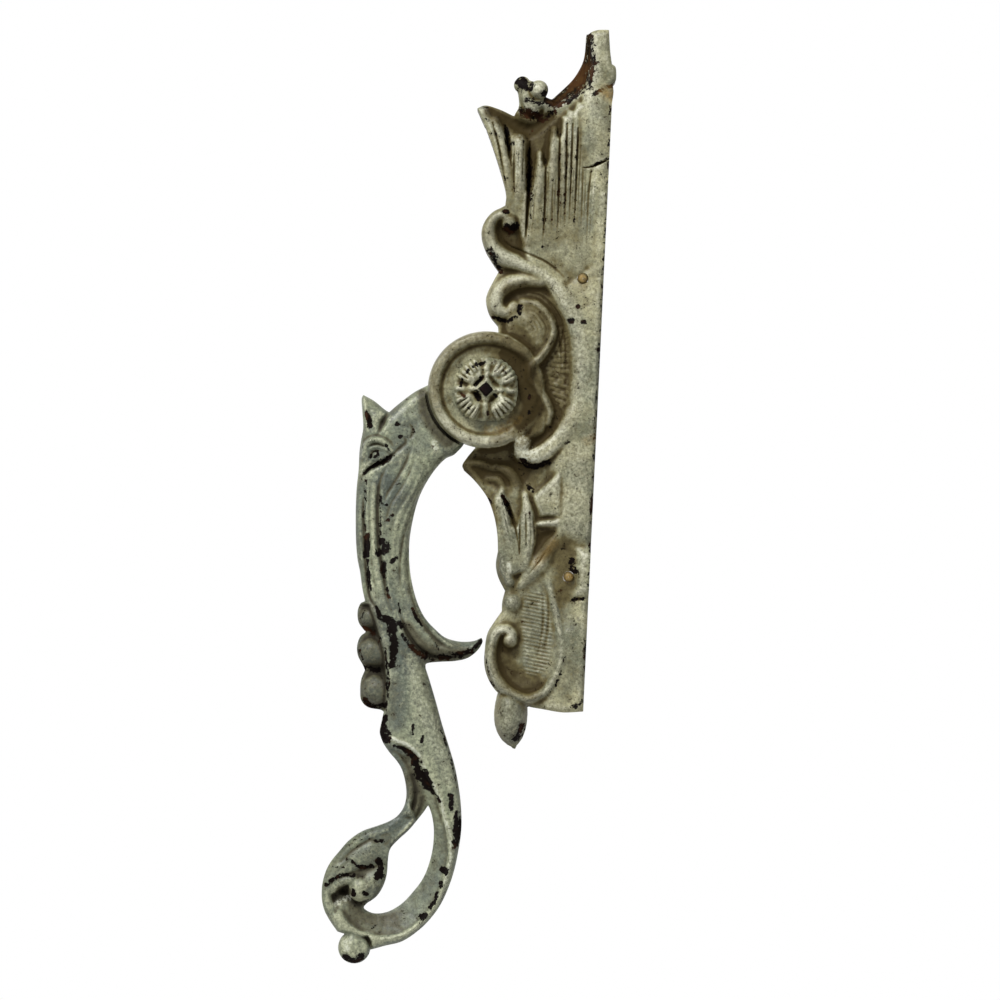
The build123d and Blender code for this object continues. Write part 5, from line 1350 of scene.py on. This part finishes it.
def painted_iron(name, tones):
    """Old paint: mottled and grainy, paler on crests, grimed in hollows, chipped to dark iron, with painted
    highlight and shade.
    """
    fresh, aged, greyed_and_shaded, rubbed_and_highlight, soiled_and_shaded, caked_and_shadowed = tones
    n = Nodes(bpy.data.materials.new(name))
    patches = n.noise(45)
    clouds = n.noise(160)
    medium = n.noise(420, 4, 0.65)
    fine = n.noise(1100, 4, 0.7)
    grain = n.noise(1500, 3, 0.75)
    bare, dirt_and_shade, crest, rust, pale_and_highlight, cool_and_shade = (n.attribute(kind) for kind in WEAR)

    def centred(value, amount):
        return n.times(n.less(value, 0.5), amount)

    # Where the paint is gone: along marked lines and crests with a ragged edge, and in specks; a few marked
    # lines are painted shadows
    ragged = n.plus(centred(medium, 1.5), centred(fine, 1.7))
    loss = n.plus(bare, n.times(crest, 0.16))
    chipped = n.between(n.plus(loss, ragged), 0.66, 0.72)
    speck = n.between(n.plus(grain, centred(medium, 0.8)), 0.66, 0.71)
    chipped = n.math("MAXIMUM", chipped, n.times(speck, 0.85))

    # The paint itself, coat over coat
    mottle = n.between(n.plus(patches, centred(clouds, 0.8)), 0.38, 0.64)
    tint = n.mix(mottle, fresh, aged)
    # Paint gone grey in patches; on the lever's stem and stalk this grey is painted shade
    dulled_and_shaded = n.between(n.plus(cool_and_shade, centred(clouds, 0.7)), 0.10, 1.0)
    tint = n.coat(tint, dulled_and_shaded, 0.85, greyed_and_shaded)
    stale = n.between(n.plus(clouds, centred(fine, 1.2)), 0.50, 0.80)
    tint = n.coat(tint, stale, 0.55, soiled_and_shaded)
    # Paler where paint is thinned on crests, and painted highlights along the marked streaks
    polished = n.times(crest, n.less(1.0, n.times(cool_and_shade, 0.8), clamp=True))
    worn_and_lit = n.between(n.plus(n.math("MAXIMUM", polished, pale_and_highlight), centred(fine, 1.4)), 0.12, 0.80)
    tint = n.coat(tint, worn_and_lit, 0.75, rubbed_and_highlight)
    # Darkening by grime in hollows and along marked lines, which also lays in the painted shade and shadows
    darkening = n.plus(dirt_and_shade, n.plus(centred(medium, 0.7), centred(grain, 0.5)))
    tint = n.coat(tint, n.between(darkening, 0.06, 0.55), 0.92, soiled_and_shaded)
    tint = n.coat(tint, n.between(darkening, 0.40, 1.15), 0.95, caked_and_shadowed)
    run = n.between(n.times(rust, medium), 0.1, 0.5)
    tint = n.coat(tint, run, 0.85, OCHRE)
    shade = n.between(n.plus(grain, centred(fine, 0.8)), 0.28, 0.66)
    tint = n.coat(tint, n.less(1.0, shade), 0.7, caked_and_shadowed)
    # Painted highlight: the strongest marked streaks turn nearly white
    glint = n.between(n.plus(pale_and_highlight, centred(fine, 2.4)), 0.70, 1.30)
    tint = n.coat(tint, glint, 0.80, PAINTED_HIGHLIGHT)

    # The iron under it, rusty in places
    reddish = n.plus(n.plus(clouds, centred(medium, 0.6)), n.times(rust, 0.5))
    metal = n.mix(n.between(reddish, 0.56, 0.76), IRON, RUST)
    metal = n.coat(metal, run, 0.4, OCHRE)
    colour = n.mix(chipped, tint, metal)

    # Bare and dirty places are rougher and shine less, and chips lie lower than the paint
    matt = n.plus(n.times(chipped, 0.3), n.times(dirt_and_shade, 0.2))
    rough = n.plus(0.38, matt)
    sheen = n.less(0.34, matt, clamp=True)
    height = n.plus(n.times(fine, 0.8), n.times(grain, 0.5))
    lift = n.less(height, chipped)
    bump = n.add("ShaderNodeBump", {"Strength": 0.8, "Distance": 0.00014, "Height": lift}).outputs["Normal"]
    return n.finish(Base_Color=colour, Roughness=rough, Specular_IOR_Level=sheen, Normal=bump)


def plain_metal(name, low, high, metallic, roughness, sheen=0.5):
    """Worn metal: two tones over one noise."""
    n = Nodes(bpy.data.materials.new(name))
    cloud = n.noise(300, 4)
    colour = n.mix(n.between(cloud, 0.4, 0.65), low, high)
    rough = n.plus(roughness, n.times(cloud, 0.2))
    return n.finish(Base_Color=colour, Roughness=rough, Metallic=metallic, Specular_IOR_Level=sheen)


case_paint = painted_iron("painted_iron_case", CASE_TONES)
lever_paint = painted_iron("painted_iron_lever", LEVER_TONES)
sheet = plain_metal("sheet_iron", (0.05, 0.035, 0.028, 1), (0.13, 0.07, 0.04, 1), 0.5, 0.5)
steel = plain_metal("steel", (0.10, 0.085, 0.075, 1), (0.19, 0.17, 0.155, 1), 0.8, 0.38)
dark_steel = plain_metal("dark_steel", (0.003, 0.002, 0.002, 1), (0.008, 0.004, 0.004, 1), 0.0, 0.7, 0.05)
brass = plain_metal("brass", (0.42, 0.28, 0.10, 1), (0.60, 0.43, 0.18, 1), 0.9, 0.3)
for piece in (case_piece, rim_piece, rosette_piece, *screw_pieces):
    piece.data.materials.append(case_paint)
lever_piece.data.materials.append(lever_paint)
for finish, titles in (
    (sheet, ("back_plate", "upper_rack", "lower_rack")),
    (steel, ("back_plate_screws", "pinion", "idler_pinion", "idler_pin")),
    (dark_steel, ("spindle",)),
    (brass, ("thrust_washer",)),
):
    for title in titles:
        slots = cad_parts[title].data.materials
        slots.clear()
        slots.append(finish)

# Stage, light and camera

corners = [(-1, -1), (1, -1), (1, 1), (-1, 1)]
floor_mesh = bpy.data.meshes.new("floor")
floor_mesh.from_pydata([(x * FLOOR_HALF, y * FLOOR_HALF, FLOOR_Z) for x, y in corners], [], [(0, 1, 2, 3)])
floor = bpy.data.objects.new("floor", floor_mesh)
bpy.context.scene.collection.objects.link(floor)
floor_paint = Nodes(bpy.data.materials.new("floor")).finish(Base_Color=(0.85, 0.85, 0.84, 1), Roughness=0.9)
floor_mesh.materials.append(floor_paint)

for name, place, size, power in LIGHTS:
    lamp = bpy.data.lights.new(name, "AREA")
    lamp.shape = "DISK"
    lamp.size = size
    lamp.energy = power
    light = bpy.data.objects.new(name, lamp)
    light.location = place
    light.rotation_mode = "QUATERNION"
    light.rotation_quaternion = (Vector(LIGHT_AIM) - Vector(place)).to_track_quat("-Z", "Y")
    bpy.context.scene.collection.objects.link(light)

# The world is white to the camera and in mirrors, and gives little light of its own
world = Nodes(bpy.data.worlds.new("studio"))
world.tree.nodes.clear()
rays = world.add("ShaderNodeLightPath").outputs
mirrored = world.math("MAXIMUM", rays["Is Glossy Ray"], rays["Is Transmission Ray"])
seen = world.math("MAXIMUM", rays["Is Camera Ray"], mirrored)
dim = world.add("ShaderNodeBackground", {"Color": (1, 1, 1, 1), "Strength": AMBIENT}).outputs[0]
white = world.add("ShaderNodeBackground", {"Color": (1, 1, 1, 1), "Strength": 1.0}).outputs[0]
either = world.add("ShaderNodeMixShader", {0: seen, 1: dim, 2: white}).outputs[0]
world.add("ShaderNodeOutputWorld", {"Surface": either})
bpy.context.scene.world = world.owner

camera_data = bpy.data.cameras.new("camera")
camera_data.sensor_width = SENSOR
camera_data.lens = SENSOR * CAMERA_DISTANCE / PHOTO_WIDTH
camera = bpy.data.objects.new("camera", camera_data)
bpy.context.scene.collection.objects.link(camera)
x, depth, z = VIEW_CENTRE
lean = radians(TILT)
camera.matrix_world = Matrix((
    (cos(lean), -sin(lean), 0, x * MM),
    (0, 0, -1, -(CAMERA_DISTANCE + depth) * MM),
    (sin(lean), cos(lean), 0, z * MM),
    (0, 0, 0, 1),
))
bpy.context.scene.camera = camera
bpy.context.scene.view_settings.view_transform = "Standard"
